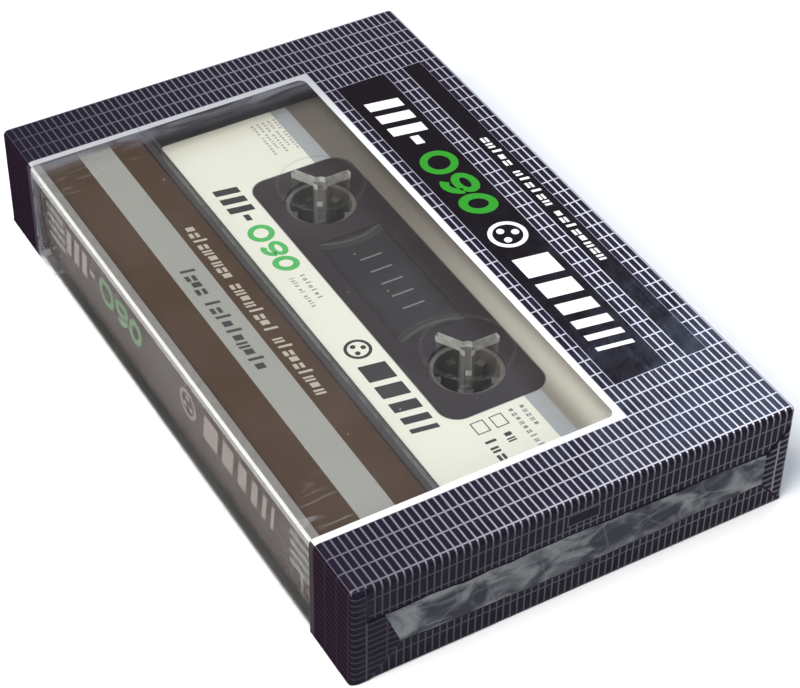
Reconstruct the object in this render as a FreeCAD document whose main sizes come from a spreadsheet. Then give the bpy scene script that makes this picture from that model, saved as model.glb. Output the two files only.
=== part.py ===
import FreeCAD, Part
import math
import os
import re

V = FreeCAD.Vector
doc = FreeCAD.newDocument("compact_cassette_in_case")

# ------------------------------------------------------------------ sizes
# All lengths in millimetres. +X runs along the long side in reading
# direction, the spine faces -Y, the lug side faces +Z. The origin is the
# bottom centre of the wrapped object.
SIZES = [
    ("filmLength", 109.4), ("filmWidth", 68.9), ("filmHeight", 17.4),
    ("filmSkin", 0.1), ("filmRound", 0.7),
    ("filmPocketRadius", 12.8), ("filmCoverRadius", 12.9),
    ("caseLength", 109.0), ("caseWidth", 68.5), ("caseLow", 0.2),
    ("caseHigh", 17.2), ("caseWall", 1.2), ("caseRound", 0.5),
    ("hingeAlong", -25.5), ("hingeRise", 8.7),
    ("pocketRadius", 12.75), ("coverRadius", 13.0), ("partGap", 0.25),
    ("slotInner", 51.7), ("slotOuter", 53.3),
    ("earInner", 51.9), ("earOuter", 53.1), ("earRadius", 6.5),
    ("armHalf", 5.0), ("jogStart", 13.2), ("jogEnd", 15.5),
    ("pegRadius", 2.0), ("pegPlay", 0.06),
    ("lugRoot", 5.0), ("lugTip", 4.4), ("lugThick", 0.9), ("lugTipThick", 0.7),
    ("lugLow", 7.0), ("lugRingInner", 6.35), ("lugRingOuter", 6.9),
    ("lugRingDrop", 0.35),
    ("cardThick", 0.3), ("cardHalf", 50.8), ("cardFlapEnd", -16.5),
    ("cardFloorEnd", 27.5),
    ("restNear", 28.3), ("restFar", 31.2), ("restInner", 28.0),
    ("restOuter", 34.0),
    ("shellLength", 100.4), ("shellFront", -32.2), ("shellBack", 31.6),
    ("shellHalf", 4.35), ("shellMid", 7.7), ("shellWall", 1.25),
    ("frontWall", 0.95), ("shellRound", 2.4), ("thickHalf", 6.0),
    ("thickFrontHalf", 34.5), ("thickBackHalf", 31.0), ("thickEnd", -16.9),
    ("hubHalf", 21.25), ("hubLine", 3.0), ("hubOpening", 5.53),
    ("labelHalf", 45.2), ("labelNear", -12.3), ("labelFar", 27.4),
    ("labelThick", 0.13), ("labelRecess", 0.15), ("labelPlay", 0.08),
    ("cutHalf", 30.0), ("cutNear", -5.2), ("cutFar", 11.7), ("cutRound", 3.0),
    ("paneHalf", 12.4), ("paneNear", -2.6), ("paneFar", 8.2),
    ("paneThick", 0.8), ("paneLedge", 0.7),
    ("bossRadius", 2.6), ("screwHoleRadius", 1.05), ("screwShank", 1.0),
    ("screwHead", 1.9), ("screwHeadDeep", 1.1),
    ("screwBackX", 46.0), ("screwBackY", 27.8), ("screwFrontX", 40.5),
    ("screwFrontY", -19.8), ("screwMidY", -19.5),
    ("slipThick", 0.1), ("slipHole", 6.4), ("slipHalf", 48.0),
    ("slipNear", -22.2), ("slipFar", 29.8),
    ("tapeHalf", 1.9), ("hubRim", 11.0), ("hubRimInner", 9.3),
    ("hubRimHalf", 2.0), ("hubWebHalf", 0.7), ("hubBoss", 5.45),
    ("hubBore", 4.75), ("hubBossHalf", 3.7), ("toothTip", 3.6),
    ("toothWide", 1.3), ("toothHalf", 1.8), ("toothCount", 6),
    ("clampSpan", 28.0), ("clampInner", 8.9),
    ("supplyPack", 25.2), ("takeupPack", 11.4),
    ("rollerX", 43.5), ("rollerY", -26.9), ("rollerRadius", 3.4),
    ("rollerFlange", 3.9), ("rollerBore", 1.05), ("pinRadius", 1.0),
    ("rollerHalf", 2.35), ("tapeThick", 0.1), ("tapeOff", 0.05),
    ("padHalf", 2.6), ("padNear", -30.3), ("padThick", 1.15),
    ("padTall", 1.75), ("leafHalf", 13.0), ("leafThick", 0.15),
    ("leafTall", 2.4), ("leafHook", 1.1),
    ("shieldHalf", 9.5), ("shieldNear", -27.2), ("shieldThick", 0.45),
    ("headHalf", 9.2), ("pinchInner", 14.8), ("pinchOuter", 27.4),
    ("eraseInner", 31.0), ("eraseOuter", 37.0), ("mouthHalf", 2.85),
    ("capstanX", 21.2), ("capstanY", -26.3), ("capstanRadius", 2.9),
    ("locateX", 33.8), ("locateY", -25.8), ("locateRadius", 2.1),
    ("tabInner", 38.4), ("tabOuter", 44.6), ("tabDeep", 0.8),
    ("tabHalf", 2.4),
]
sheet = doc.addObject("Spreadsheet::Sheet", "Dims")
for i, (name, value) in enumerate(SIZES, start=1):
    sheet.set("A%d" % i, name)
    sheet.set("B%d" % i, str(value))
    sheet.setAlias("B%d" % i, name)
doc.recompute()
NAMES = {n for n, _ in SIZES}


def val(name):
    return float(sheet.get(name))


def ex(text):
    return re.sub(r"[A-Za-z_]\w*",
                  lambda g: "Dims." + g.group(0) if g.group(0) in NAMES else g.group(0),
                  str(text))


def bind(obj, prop, text):
    obj.setExpression(prop, ex(text))


# ------------------------------------------------------- solid primitives
def box(name, x0, x1, y0, y1, z0, z1):
    o = doc.addObject("Part::Box", name)
    bind(o, "Length", "(%s)-(%s)" % (x1, x0))
    bind(o, "Width", "(%s)-(%s)" % (y1, y0))
    bind(o, "Height", "(%s)-(%s)" % (z1, z0))
    bind(o, "Placement.Base.x", x0)
    bind(o, "Placement.Base.y", y0)
    bind(o, "Placement.Base.z", z0)
    return o


def cyl(name, radius, cx, cy, z0, z1, angle=None, turn=0.0):
    o = doc.addObject("Part::Cylinder", name)
    o.Placement = FreeCAD.Placement(V(0, 0, 0), FreeCAD.Rotation(V(0, 0, 1), turn))
    bind(o, "Radius", radius)
    bind(o, "Height", "(%s)-(%s)" % (z1, z0))
    if angle:
        bind(o, "Angle", angle)
    bind(o, "Placement.Base.x", cx)
    bind(o, "Placement.Base.y", cy)
    bind(o, "Placement.Base.z", z0)
    return o


def cylx(name, radius, x0, x1, cy, cz):
    o = doc.addObject("Part::Cylinder", name)
    o.Placement = FreeCAD.Placement(V(0, 0, 0), FreeCAD.Rotation(V(0, 1, 0), 90))
    bind(o, "Radius", radius)
    bind(o, "Height", "(%s)-(%s)" % (x1, x0))
    bind(o, "Placement.Base.x", x0)
    bind(o, "Placement.Base.y", cy)
    bind(o, "Placement.Base.z", cz)
    return o


def fuse(name, shapes):
    o = doc.addObject("Part::MultiFuse", name)
    o.Shapes = shapes
    o.Refine = True
    return o


def both(name, shapes):
    o = doc.addObject("Part::MultiCommon", name)
    o.Shapes = shapes
    return o


def cut(name, base, tools):
    o = doc.addObject("Part::Cut", name)
    o.Base = base
    o.Tool = tools[0] if len(tools) == 1 else fuse(name + "_tools", tools)
    o.Refine = True
    return o


def fillet(name, base, pick, radius):
    """Round the edges that pick(midpoint, direction) accepts."""
    doc.recompute()
    o = doc.addObject("Part::Fillet", name)
    o.Base = base
    r = val(radius)
    rows = []
    for i, e in enumerate(base.Shape.Edges, start=1):
        a, b = e.Vertexes[0].Point, e.Vertexes[-1].Point
        d = b.sub(a)
        if d.Length > 1e-6:
            d.normalize()
        if pick(a.add(b).multiply(0.5), d):
            rows.append((i, r, r))
    o.Edges = rows
    return o


# ------------------------------------------------------ sketch helpers
def plane_of(body, role):
    for f in body.Origin.OriginFeatures:
        if f.Role == role:
            return f
    raise RuntimeError(role)


def sketch(body, name, role="XY_Plane", offset=None):
    s = body.newObject("Sketcher::SketchObject", name)
    s.AttachmentSupport = [(plane_of(body, role), "")]
    s.MapMode = "FlatFace"
    if offset is not None:
        bind(s, "AttachmentOffset.Base.z", offset)
    return s


def ring(s, radius):
    import Sketcher
    g = s.addGeometry(Part.Circle(V(0, 0, 0), V(0, 0, 1), 3.0), False)
    s.addConstraint(Sketcher.Constraint("Coincident", g, 3, -1, 1))
    c = s.addConstraint(Sketcher.Constraint("Radius", g, 3.0))
    s.setExpression("Constraints[%d]" % c, ex(radius))
    return g


def polygon(s, points, guess):
    import Sketcher
    n = len(points)
    first = None
    for i in range(n):
        a, b = guess[i], guess[(i + 1) % n]
        g = s.addGeometry(Part.LineSegment(V(a[0], a[1], 0), V(b[0], b[1], 0)), False)
        first = g if first is None else first
    for i in range(n):
        s.addConstraint(Sketcher.Constraint("Coincident", first + i, 2, first + (i + 1) % n, 1))
    for i, (xe, ye) in enumerate(points):
        if xe == "0":
            s.addConstraint(Sketcher.Constraint("PointOnObject", first + i, 1, -2))
        else:
            c = s.addConstraint(Sketcher.Constraint("DistanceX", -1, 1, first + i, 1, guess[i][0]))
            s.setExpression("Constraints[%d]" % c, ex(xe))
        if ye == "0":
            s.addConstraint(Sketcher.Constraint("PointOnObject", first + i, 1, -1))
        else:
            c = s.addConstraint(Sketcher.Constraint("DistanceY", -1, 1, first + i, 1, guess[i][1]))
            s.setExpression("Constraints[%d]" % c, ex(ye))


def pad(body, name, s, length):
    p = body.newObject("PartDesign::Pad", name)
    p.Profile = s
    bind(p, "Length", length)
    s.Visibility = False
    return p


# =================================================== hinged clear case
case_block = fillet("case_block_round",
                    box("case_block", "-caseLength/2", "caseLength/2", "-caseWidth/2",
                        "caseWidth/2", "caseLow", "caseHigh"),
                    lambda m, d: True, "caseRound")
case_hollow = box("case_hollow", "-caseLength/2+caseWall", "caseLength/2-caseWall",
                  "-caseWidth/2+caseWall", "caseWidth/2-caseWall",
                  "caseLow+caseWall", "caseHigh-caseWall")
case_skin = cut("case_skin", case_block, [case_hollow])

# pocket side: floor, spine wall, part of the lug face, quarter-round ends
holder_region = fuse("holder_region", [
    box("holder_floor_zone", "-caseLength", "caseLength", "-caseWidth", "caseWidth",
        "caseLow-1", "caseLow+caseWall"),
    box("holder_low_zone", "-caseLength", "caseLength", "-caseWidth",
        "hingeAlong+pocketRadius", "caseLow-1", "hingeRise"),
    both("holder_round_zone", [
        cylx("holder_round", "pocketRadius", "-caseLength", "caseLength", "hingeAlong", "hingeRise"),
        box("holder_round_half", "-caseLength", "caseLength", "-caseWidth", "caseWidth",
            "hingeRise", "hingeRise+20")])])
holder_raw = both("holder_raw", [case_skin, holder_region])
slot_top = "caseHigh+1"
holder_cut = cut("holder_cut", holder_raw, [
    box("arm_slot_right", "slotInner", "slotOuter", "-caseWidth/2+caseWall", "hingeAlong+20",
        "caseHigh-caseWall-0.2", slot_top),
    box("arm_slot_left", "-slotOuter", "-slotInner", "-caseWidth/2+caseWall", "hingeAlong+20",
        "caseHigh-caseWall-0.2", slot_top),
    cylx("peg_hole_right", "pegRadius+pegPlay", "slotOuter-1", "caseLength/2+1",
         "hingeAlong", "hingeRise"),
    cylx("peg_hole_left", "pegRadius+pegPlay", "-caseLength/2-1", "-slotOuter+1",
         "hingeAlong", "hingeRise")])
case_holder = fuse("case_holder", [
    holder_cut,
    box("rest_right", "restInner", "restOuter", "restNear", "restFar",
        "caseLow+caseWall-0.3", "shellMid-shellHalf"),
    box("rest_left", "-restOuter", "-restInner", "restNear", "restFar",
        "caseLow+caseWall-0.3", "shellMid-shellHalf")])

# lug side: panel, far wall, ends, ears with pegs, two three-arm lugs
cover_raw = cut("cover_raw", case_skin, [
    box("cover_floor_zone", "-caseLength", "caseLength", "-caseWidth", "caseWidth",
        "caseLow-1", "caseLow+caseWall+0.1"),
    box("cover_low_zone", "-caseLength", "caseLength", "-caseWidth",
        "hingeAlong+coverRadius", "caseLow-1", "hingeRise"),
    cylx("cover_round", "coverRadius", "-caseLength", "caseLength", "hingeAlong", "hingeRise")])
grip = cylx("grip_scoop", "9", "-7.5", "7.5", "caseWidth/2+8.3", "caseLow+5.5")


def ear(side, sgn):
    if sgn > 0:
        a, b, c, d = "earInner", "earOuter", "caseLength/2", "caseLength/2-0.1"
        disc = cylx("ear_disc_" + side, "earRadius", a, b, "hingeAlong", "hingeRise")
        arm = box("ear_arm_" + side, a, b, "hingeAlong", "hingeAlong+jogEnd",
                  "hingeRise-armHalf", "hingeRise+armHalf")
        jog = box("ear_jog_" + side, a, c, "hingeAlong+jogStart", "hingeAlong+jogEnd",
                  "hingeRise-armHalf", "hingeRise+armHalf")
        peg = cylx("ear_peg_" + side, "pegRadius", "earOuter-0.4", d, "hingeAlong", "hingeRise")
    else:
        a, b, c, d = "-earOuter", "-earInner", "-caseLength/2", "-caseLength/2+0.1"
        disc = cylx("ear_disc_" + side, "earRadius", a, b, "hingeAlong", "hingeRise")
        arm = box("ear_arm_" + side, a, b, "hingeAlong", "hingeAlong+jogEnd",
                  "hingeRise-armHalf", "hingeRise+armHalf")
        jog = box("ear_jog_" + side, c, b, "hingeAlong+jogStart", "hingeAlong+jogEnd",
                  "hingeRise-armHalf", "hingeRise+armHalf")
        peg = cylx("ear_peg_" + side, "pegRadius", d, "-earOuter+0.4", "hingeAlong", "hingeRise")
    return [disc, arm, jog, peg]


def lug(side, cx):
    out = []
    for k, deg in enumerate((90.0, 210.0, 330.0)):
        w = doc.addObject("Part::Wedge", "lug_%s_%d" % (side, k + 1))
        w.Placement = FreeCAD.Placement(
            V(0, 0, 0),
            FreeCAD.Rotation(V(0, 0, 1), deg - 90.0).multiply(FreeCAD.Rotation(V(1, 0, 0), -90.0)))
        bind(w, "Xmin", "-lugThick/2")
        bind(w, "Xmax", "lugThick/2")
        bind(w, "Ymin", "0")
        bind(w, "Ymax", "caseHigh-caseWall+0.4-lugLow")
        bind(w, "Zmin", "0")
        bind(w, "Zmax", "lugRoot")
        bind(w, "X2min", "-lugTipThick/2")
        bind(w, "X2max", "lugTipThick/2")
        bind(w, "Z2min", "0")
        bind(w, "Z2max", "lugTip")
        bind(w, "Placement.Base.x", cx)
        bind(w, "Placement.Base.y", "hubLine")
        bind(w, "Placement.Base.z", "caseHigh-caseWall+0.4")
        out.append(w)
    out.append(cyl("lug_core_" + side, "1.1", cx, "hubLine", "lugLow+0.6", "caseHigh-caseWall+0.4"))
    out.append(cut("lug_ring_" + side,
                   cyl("lug_ring_out_" + side, "lugRingOuter", cx, "hubLine",
                       "caseHigh-caseWall-lugRingDrop", "caseHigh-caseWall+0.3"),
                   [cyl("lug_ring_in_" + side, "lugRingInner", cx, "hubLine",
                        "caseHigh-caseWall-1", "caseHigh-caseWall+1")]))
    return out


case_cover = fuse("case_cover",
                  [cut("cover_gripped", cover_raw, [grip])]
                  + ear("right", 1) + ear("left", -1)
                  + lug("right", "hubHalf") + lug("left", "-hubHalf"))

# ------------------------------------------------------- printed overwrap
def film_edges(m, d):
    return abs(d.z) > 0.99 or m.z > 10.0


film_outer = fillet("film_outer_round",
                    box("film_outer", "-filmLength/2", "filmLength/2", "-filmWidth/2",
                        "filmWidth/2", "0", "filmHeight"), film_edges, "filmRound")
film_inner = fillet("film_inner_round",
                    box("film_inner", "-filmLength/2+filmSkin", "filmLength/2-filmSkin",
                        "-filmWidth/2+filmSkin", "filmWidth/2-filmSkin",
                        "filmSkin", "filmHeight-filmSkin"),
                    film_edges, "caseRound")
film_skin = cut("film_skin", film_outer, [film_inner])
film_holder_zone = fuse("film_holder_zone", [
    box("film_floor_zone", "-caseLength", "caseLength", "-caseWidth", "caseWidth", "-1", "filmSkin"),
    box("film_low_zone", "-caseLength", "caseLength", "-caseWidth",
        "hingeAlong+filmPocketRadius-0.1", "-1", "hingeRise"),
    both("film_round_zone", [
        cylx("film_round", "filmPocketRadius", "-caseLength", "caseLength", "hingeAlong", "hingeRise"),
        box("film_round_half", "-caseLength", "caseLength", "-caseWidth", "caseWidth",
            "hingeRise", "hingeRise+20")])])
film_slotted = cut("film_slotted", both("film_holder_raw", [film_skin, film_holder_zone]), [
    box("film_slot_right", "slotInner", "slotOuter", "-caseWidth/2+caseWall-0.15", "hingeAlong+20",
        "filmHeight-1", "filmHeight+1"),
    box("film_slot_left", "-slotOuter", "-slotInner", "-caseWidth/2+caseWall-0.15", "hingeAlong+20",
        "filmHeight-1", "filmHeight+1")])
film_spine_wrap = cut("film_spine_wrap", film_slotted, [
    box("film_under", "-caseLength", "caseLength", "-caseWidth", "caseWidth", "-1", "filmSkin")])
film_base_sheet = both("film_base_sheet", [
    film_slotted,
    box("film_base_zone", "-caseLength", "caseLength", "-caseWidth", "caseWidth", "-1", "filmSkin")])
film_top_wrap = cut("film_top_wrap", film_skin, [
    box("film_cover_floor_zone", "-caseLength", "caseLength", "-caseWidth", "caseWidth",
        "-1", "filmSkin+0.03"),
    box("film_cover_low_zone", "-caseLength", "caseLength", "-caseWidth",
        "hingeAlong+filmCoverRadius", "-1", "hingeRise"),
    cylx("film_cover_round", "filmCoverRadius", "-caseLength", "caseLength",
         "hingeAlong", "hingeRise")])

# ------------------------------------------------------------ insert card
insert_card = cut("insert_card",
                  box("card_block", "-cardHalf", "cardHalf", "-caseWidth/2+caseWall",
                      "cardFloorEnd", "caseLow+caseWall", "caseHigh-caseWall"),
                  [box("card_inside", "-cardHalf-1", "cardHalf+1",
                       "-caseWidth/2+caseWall+cardThick", "cardFloorEnd+1",
                       "caseLow+caseWall+cardThick", "caseHigh-caseWall-cardThick"),
                   box("card_top_trim", "-cardHalf-1", "cardHalf+1", "cardFlapEnd",
                       "cardFloorEnd+1", "caseHigh-caseWall-cardThick-0.1", "caseHigh")])

# =========================================================== cassette shell
SCREWS = [("back_right", "screwBackX", "screwBackY"),
          ("back_left", "-screwBackX", "screwBackY"),
          ("front_right", "screwFrontX", "screwFrontY"),
          ("front_left", "-screwFrontX", "screwFrontY"),
          ("middle", "0", "screwMidY")]


def shell(name, up):
    """One shell half; up=+1 carries the lug-side face, -1 the other face."""
    def zz(a, b):
        a, b = "shellMid+(%s)" % a, "shellMid+(%s)" % b
        return (a, b)

    def z(a, b):
        return zz(a, b) if up > 0 else zz("-(%s)" % b, "-(%s)" % a)

    p = name + "_"
    body = fillet(p + "round",
                  box(p + "block", "-shellLength/2", "shellLength/2", "shellFront", "shellBack",
                      *z("0", "shellHalf")),
                  lambda m, d: abs(d.z) > 0.99, "shellRound")
    thick = doc.addObject("Part::Wedge", p + "thick")
    z0, z1 = z("0", "thickHalf")
    for prop, text in (("Xmin", "-thickFrontHalf"), ("Xmax", "thickFrontHalf"),
                       ("Ymin", "shellFront"), ("Ymax", "thickEnd"),
                       ("Zmin", z0), ("Zmax", z1), ("X2min", "-thickBackHalf"),
                       ("X2max", "thickBackHalf"), ("Z2min", z0), ("Z2max", z1)):
        bind(thick, prop, text)
    whole = fuse(p + "whole", [body, thick])
    tools = [box(p + "cavity", "-shellLength/2+shellWall", "shellLength/2-shellWall",
                 "shellFront+frontWall", "shellBack-shellWall",
                 *z("-0.5", "shellHalf-shellWall"))]
    for s, sx in (("right", ""), ("left", "-")):
        tools.append(cyl(p + "hub_hole_" + s, "hubOpening", sx + "hubHalf", "hubLine",
                         *z("0", "thickHalf+1")))
        tools.append(cyl(p + "capstan_" + s, "capstanRadius", sx + "capstanX", "capstanY",
                         *z("-0.5", "thickHalf+1")))
        tools.append(cyl(p + "locate_" + s, "locateRadius", sx + "locateX", "locateY",
                         *z("-0.5", "thickHalf+1")))
        for w, a, b in (("pinch", "pinchInner", "pinchOuter"), ("erase", "eraseInner", "eraseOuter"),
                        ):
            x0, x1 = (a, b) if s == "right" else ("-" + b, "-" + a)
            tools.append(box(p + w + "_" + s, x0, x1, "shellFront-1", "shellFront+frontWall+0.5",
                             *z("-0.5", "mouthHalf")))
        x0, x1 = ("tabInner", "tabOuter") if s == "right" else ("-tabOuter", "-tabInner")
        tools.append(box(p + "tab_" + s, x0, x1, "shellBack-tabDeep", "shellBack+1",
                         *z("-0.5", "tabHalf")))
    tools.append(box(p + "head", "-headHalf", "headHalf", "shellFront-1",
                     "shellFront+frontWall+0.5", *z("-0.5", "mouthHalf")))
    # window opening with a ledge under the pane
    tools.append(box(p + "view", "-paneHalf+paneLedge", "paneHalf-paneLedge",
                     "paneNear+paneLedge", "paneFar-paneLedge", *z("0", "shellHalf+1")))
    tools.append(box(p + "pane_seat", "-paneHalf", "paneHalf", "paneNear", "paneFar",
                     *z("shellHalf-paneThick", "shellHalf+1")))
    # label recess leaves the plateau round the hubs standing
    plateau = fillet(p + "plateau_round",
                     box(p + "plateau", "-cutHalf+labelPlay", "cutHalf-labelPlay",
                         "cutNear+labelPlay", "cutFar-labelPlay", *z("shellHalf-1", "shellHalf+2")),
                     lambda m, d: abs(d.z) > 0.99, "cutRound")
    tools.append(cut(p + "recess",
                     box(p + "recess_box", "-labelHalf-labelPlay", "labelHalf+labelPlay",
                         "labelNear-labelPlay", "labelFar+labelPlay",
                         *z("shellHalf-labelRecess", "shellHalf+1")), [plateau]))
    hollow = cut(p + "hollow", whole, tools)
    bosses = []
    for s, cx, cy in SCREWS:
        bosses.append(cyl(p + "boss_" + s, "bossRadius", cx, cy, *z("0", "shellHalf-shellWall+0.3")))
    joined = fuse(p + "joined", [hollow] + bosses)
    holes = []
    for s, cx, cy in SCREWS:
        holes.append(cyl(p + "screw_hole_" + s, "screwHoleRadius", cx, cy,
                         *z("-1", "shellHalf+1" if up < 0 else "shellHalf-0.7")))
        if up < 0:
            top = "thickHalf" if s == "middle" else "shellHalf"
            holes.append(cyl(p + "screw_seat_" + s, "screwHead+0.1", cx, cy,
                             *z(top + "-screwHeadDeep" if s != "middle" else "thickHalf-screwHeadDeep",
                                "thickHalf+1")))
            if s == "middle":
                holes.append(cyl(p + "screw_through_middle", "screwHoleRadius", cx, cy,
                                 *z("0", "thickHalf")))
    return cut(name, joined, holes)


shell_front = shell("shell_front", 1)
shell_back = shell("shell_back", -1)


def label(name, up):
    if up > 0:
        z0, z1 = "shellMid+shellHalf-labelRecess", "shellMid+shellHalf-labelRecess+labelThick"
    else:
        z0, z1 = "shellMid-shellHalf+labelRecess-labelThick", "shellMid-shellHalf+labelRecess"
    sheetbox = fillet(name + "_round",
                      box(name + "_sheet", "-labelHalf", "labelHalf", "labelNear", "labelFar", z0, z1),
                      lambda m, d: abs(d.z) > 0.99, "caseRound")
    hole = fillet(name + "_hole_round",
                  box(name + "_hole", "-cutHalf", "cutHalf", "cutNear", "cutFar",
                      z0 + "-1", z1 + "+1"),
                  lambda m, d: abs(d.z) > 0.99, "cutRound")
    return cut(name, sheetbox, [hole])


label_a = label("label_a", 1)
label_b = label("label_b", -1)

window_a = fillet("window_a",
                  box("window_a_pane", "-paneHalf+0.04", "paneHalf-0.04", "paneNear+0.04",
                      "paneFar-0.04", "shellMid+shellHalf-paneThick", "shellMid+shellHalf"),
                  lambda m, d: m.z > val("shellMid") + val("shellHalf") - 0.01, "slipThick")
window_b = fillet("window_b",
                  box("window_b_pane", "-paneHalf+0.04", "paneHalf-0.04", "paneNear+0.04",
                      "paneFar-0.04", "shellMid-shellHalf", "shellMid-shellHalf+paneThick"),
                  lambda m, d: m.z < val("shellMid") - val("shellHalf") + 0.01, "slipThick")


def slip(name, z0, z1):
    return cut(name, box(name + "_sheet", "-slipHalf", "slipHalf", "slipNear", "slipFar", z0, z1), [
        cyl(name + "_hole_right", "slipHole", "hubHalf", "hubLine", z0 + "-1", z1 + "+1"),
        cyl(name + "_hole_left", "slipHole", "-hubHalf", "hubLine", z0 + "-1", z1 + "+1")]
        + [cyl(name + "_boss_" + s, "bossRadius+0.3", cx, cy, z0 + "-1", z1 + "+1")
           for s, cx, cy in SCREWS])


slip_sheet_a = slip("slip_sheet_a", "shellMid+shellHalf-shellWall-slipThick",
                    "shellMid+shellHalf-shellWall")
slip_sheet_b = slip("slip_sheet_b", "shellMid-shellHalf+shellWall",
                    "shellMid-shellHalf+shellWall+slipThick")

for side, cx, cy in SCREWS:
    face = "shellMid-thickHalf" if side == "middle" else "shellMid-shellHalf"
    n = "screw_" + side
    head = cyl(n + "_head", "screwHead", cx, cy, face + "+0.15", face + "+screwHeadDeep")
    shank = cyl(n + "_shank", "screwShank", cx, cy, face + "+screwHeadDeep-0.1",
                "shellMid+shellHalf-1.0")
    cross_a = box(n + "_slot_a", cx + "-1.15", cx + "+1.15", cy + "-0.22", cy + "+0.22",
                  face, face + "+0.75")
    cross_b = box(n + "_slot_b", cx + "-0.22", cx + "+0.22", cy + "-1.15", cy + "+1.15",
                  face, face + "+0.75")
    cut(n, fuse(n + "_whole", [head, shank]), [cross_a, cross_b])


# ======================================================= hubs, tape, rollers
def hub(name, cx, clamp_at):
    b = doc.addObject("PartDesign::Body", name)
    bind(b, "Placement.Base.x", cx)
    bind(b, "Placement.Base.y", "hubLine")
    s = sketch(b, name + "_boss_sketch", offset="shellMid-hubBossHalf")
    ring(s, "hubBoss")
    ring(s, "hubBore")
    pad(b, name + "_boss", s, "2*hubBossHalf")
    s = sketch(b, name + "_web_sketch", offset="shellMid-hubWebHalf")
    ring(s, "hubRimInner+0.3")
    ring(s, "hubBore+0.3")
    pad(b, name + "_web", s, "2*hubWebHalf")
    s = sketch(b, name + "_rim_sketch", offset="shellMid-hubRimHalf")
    ring(s, "hubRim")
    ring(s, "hubRimInner")
    pad(b, name + "_rim", s, "2*hubRimHalf")
    s = sketch(b, name + "_tooth_sketch", offset="shellMid-toothHalf")
    polygon(s, [("toothTip", "-toothWide/2"), ("hubBore+0.3", "-toothWide/2"),
                ("hubBore+0.3", "toothWide/2"), ("toothTip", "toothWide/2")],
            [(3.6, -0.65), (5.05, -0.65), (5.05, 0.65), (3.6, 0.65)])
    tooth = pad(b, name + "_tooth", s, "2*toothHalf")
    doc.recompute()
    b.Tip = tooth
    pat = b.newObject("PartDesign::PolarPattern", name + "_teeth")
    pat.Originals = [tooth]
    axis = [f for f in b.Origin.OriginFeatures if f.Role == "Z_Axis"][0]
    pat.Axis = (axis, [""])
    pat.Angle = 360
    pat.Occurrences = 6
    bind(pat, "Occurrences", "toothCount")
    b.Tip = pat
    # gap in the rim that takes the leader clamp
    s = sketch(b, name + "_gap_sketch", offset="shellMid-hubRimHalf-0.5")
    half = math.radians(val("clampSpan") / 2 + 0.4)
    ri, ro = val("clampInner") - 0.05, val("hubRim") + 1.5
    t = math.radians(clamp_at)
    pts = [(ri, t - half), (ro, t - half), (ro, t + half), (ri, t + half)]
    guess = [(r * math.cos(a), r * math.sin(a)) for r, a in pts]
    turn = "%.6f" % clamp_at
    words = []
    for r, sgn in (("(clampInner-0.05)", "-"), ("(hubRim+1.5)", "-"),
                   ("(hubRim+1.5)", "+"), ("(clampInner-0.05)", "+")):
        ang = "((%s%sclampSpan/2%s0.4)*1deg)" % (turn, sgn, sgn)
        words.append(("%s*cos(%s)" % (r, ang), "%s*sin(%s)" % (r, ang)))
    polygon(s, words, guess)
    pk = b.newObject("PartDesign::Pocket", name + "_gap")
    pk.Profile = s
    pk.Reversed = True
    bind(pk, "Length", "2*hubRimHalf+1")
    s.Visibility = False
    return b


hub_supply = hub("hub_supply", "-hubHalf", 150.0)
hub_takeup = hub("hub_takeup", "hubHalf", 30.0)


def clamp(name, cx, at):
    a = val("clampSpan")
    outer = cyl(name + "_outer", "hubRim", cx, "hubLine", "shellMid-hubRimHalf",
                "shellMid+hubRimHalf", angle="clampSpan", turn=at - a / 2)
    inner = cyl(name + "_inner", "hubRimInner+0.05", cx, "hubLine", "shellMid-hubRimHalf-1",
                "shellMid+hubRimHalf+1")
    return cut(name, outer, [inner])


clamp("hub_clamp_supply", "-hubHalf", 150.0)
clamp("hub_clamp_takeup", "hubHalf", 30.0)


def tape_pack(name, cx, radius):
    return cut(name,
               cyl(name + "_disc", radius, cx, "hubLine", "shellMid-tapeHalf", "shellMid+tapeHalf"),
               [cyl(name + "_core", "hubRim", cx, "hubLine", "shellMid-tapeHalf-1",
                    "shellMid+tapeHalf+1")])


tape_pack("tape_pack_supply", "-hubHalf", "supplyPack")
tape_pack("tape_pack_takeup", "hubHalf", "takeupPack")


def roller(name, cx):
    b = doc.addObject("PartDesign::Body", name)
    bind(b, "Placement.Base.x", cx)
    bind(b, "Placement.Base.y", "rollerY")
    bind(b, "Placement.Base.z", "shellMid")
    s = sketch(b, name + "_profile", "XZ_Plane")
    pts = [("rollerBore", "-rollerHalf"), ("rollerFlange", "-rollerHalf"),
           ("rollerFlange", "-tapeHalf-0.05"), ("rollerRadius", "-tapeHalf-0.05"),
           ("rollerRadius", "tapeHalf+0.05"), ("rollerFlange", "tapeHalf+0.05"),
           ("rollerFlange", "rollerHalf"), ("rollerBore", "rollerHalf")]
    guess = [(1.05, -2.35), (3.9, -2.35), (3.9, -1.95), (3.4, -1.95), (3.4, 1.95), (3.9, 1.95),
             (3.9, 2.35), (1.05, 2.35)]
    polygon(s, pts, guess)
    r = b.newObject("PartDesign::Revolution", name + "_turned")
    r.Profile = s
    r.ReferenceAxis = (s, ["V_Axis"])
    r.Angle = 360
    s.Visibility = False
    return b


roller("guide_roller_right", "rollerX")
roller("guide_roller_left", "-rollerX")
for side, cx in (("right", "rollerX"), ("left", "-rollerX")):
    cyl("roller_pin_" + side, "pinRadius", cx, "rollerY", "shellMid-shellHalf+shellWall",
        "shellMid+shellHalf-shellWall")


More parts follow.
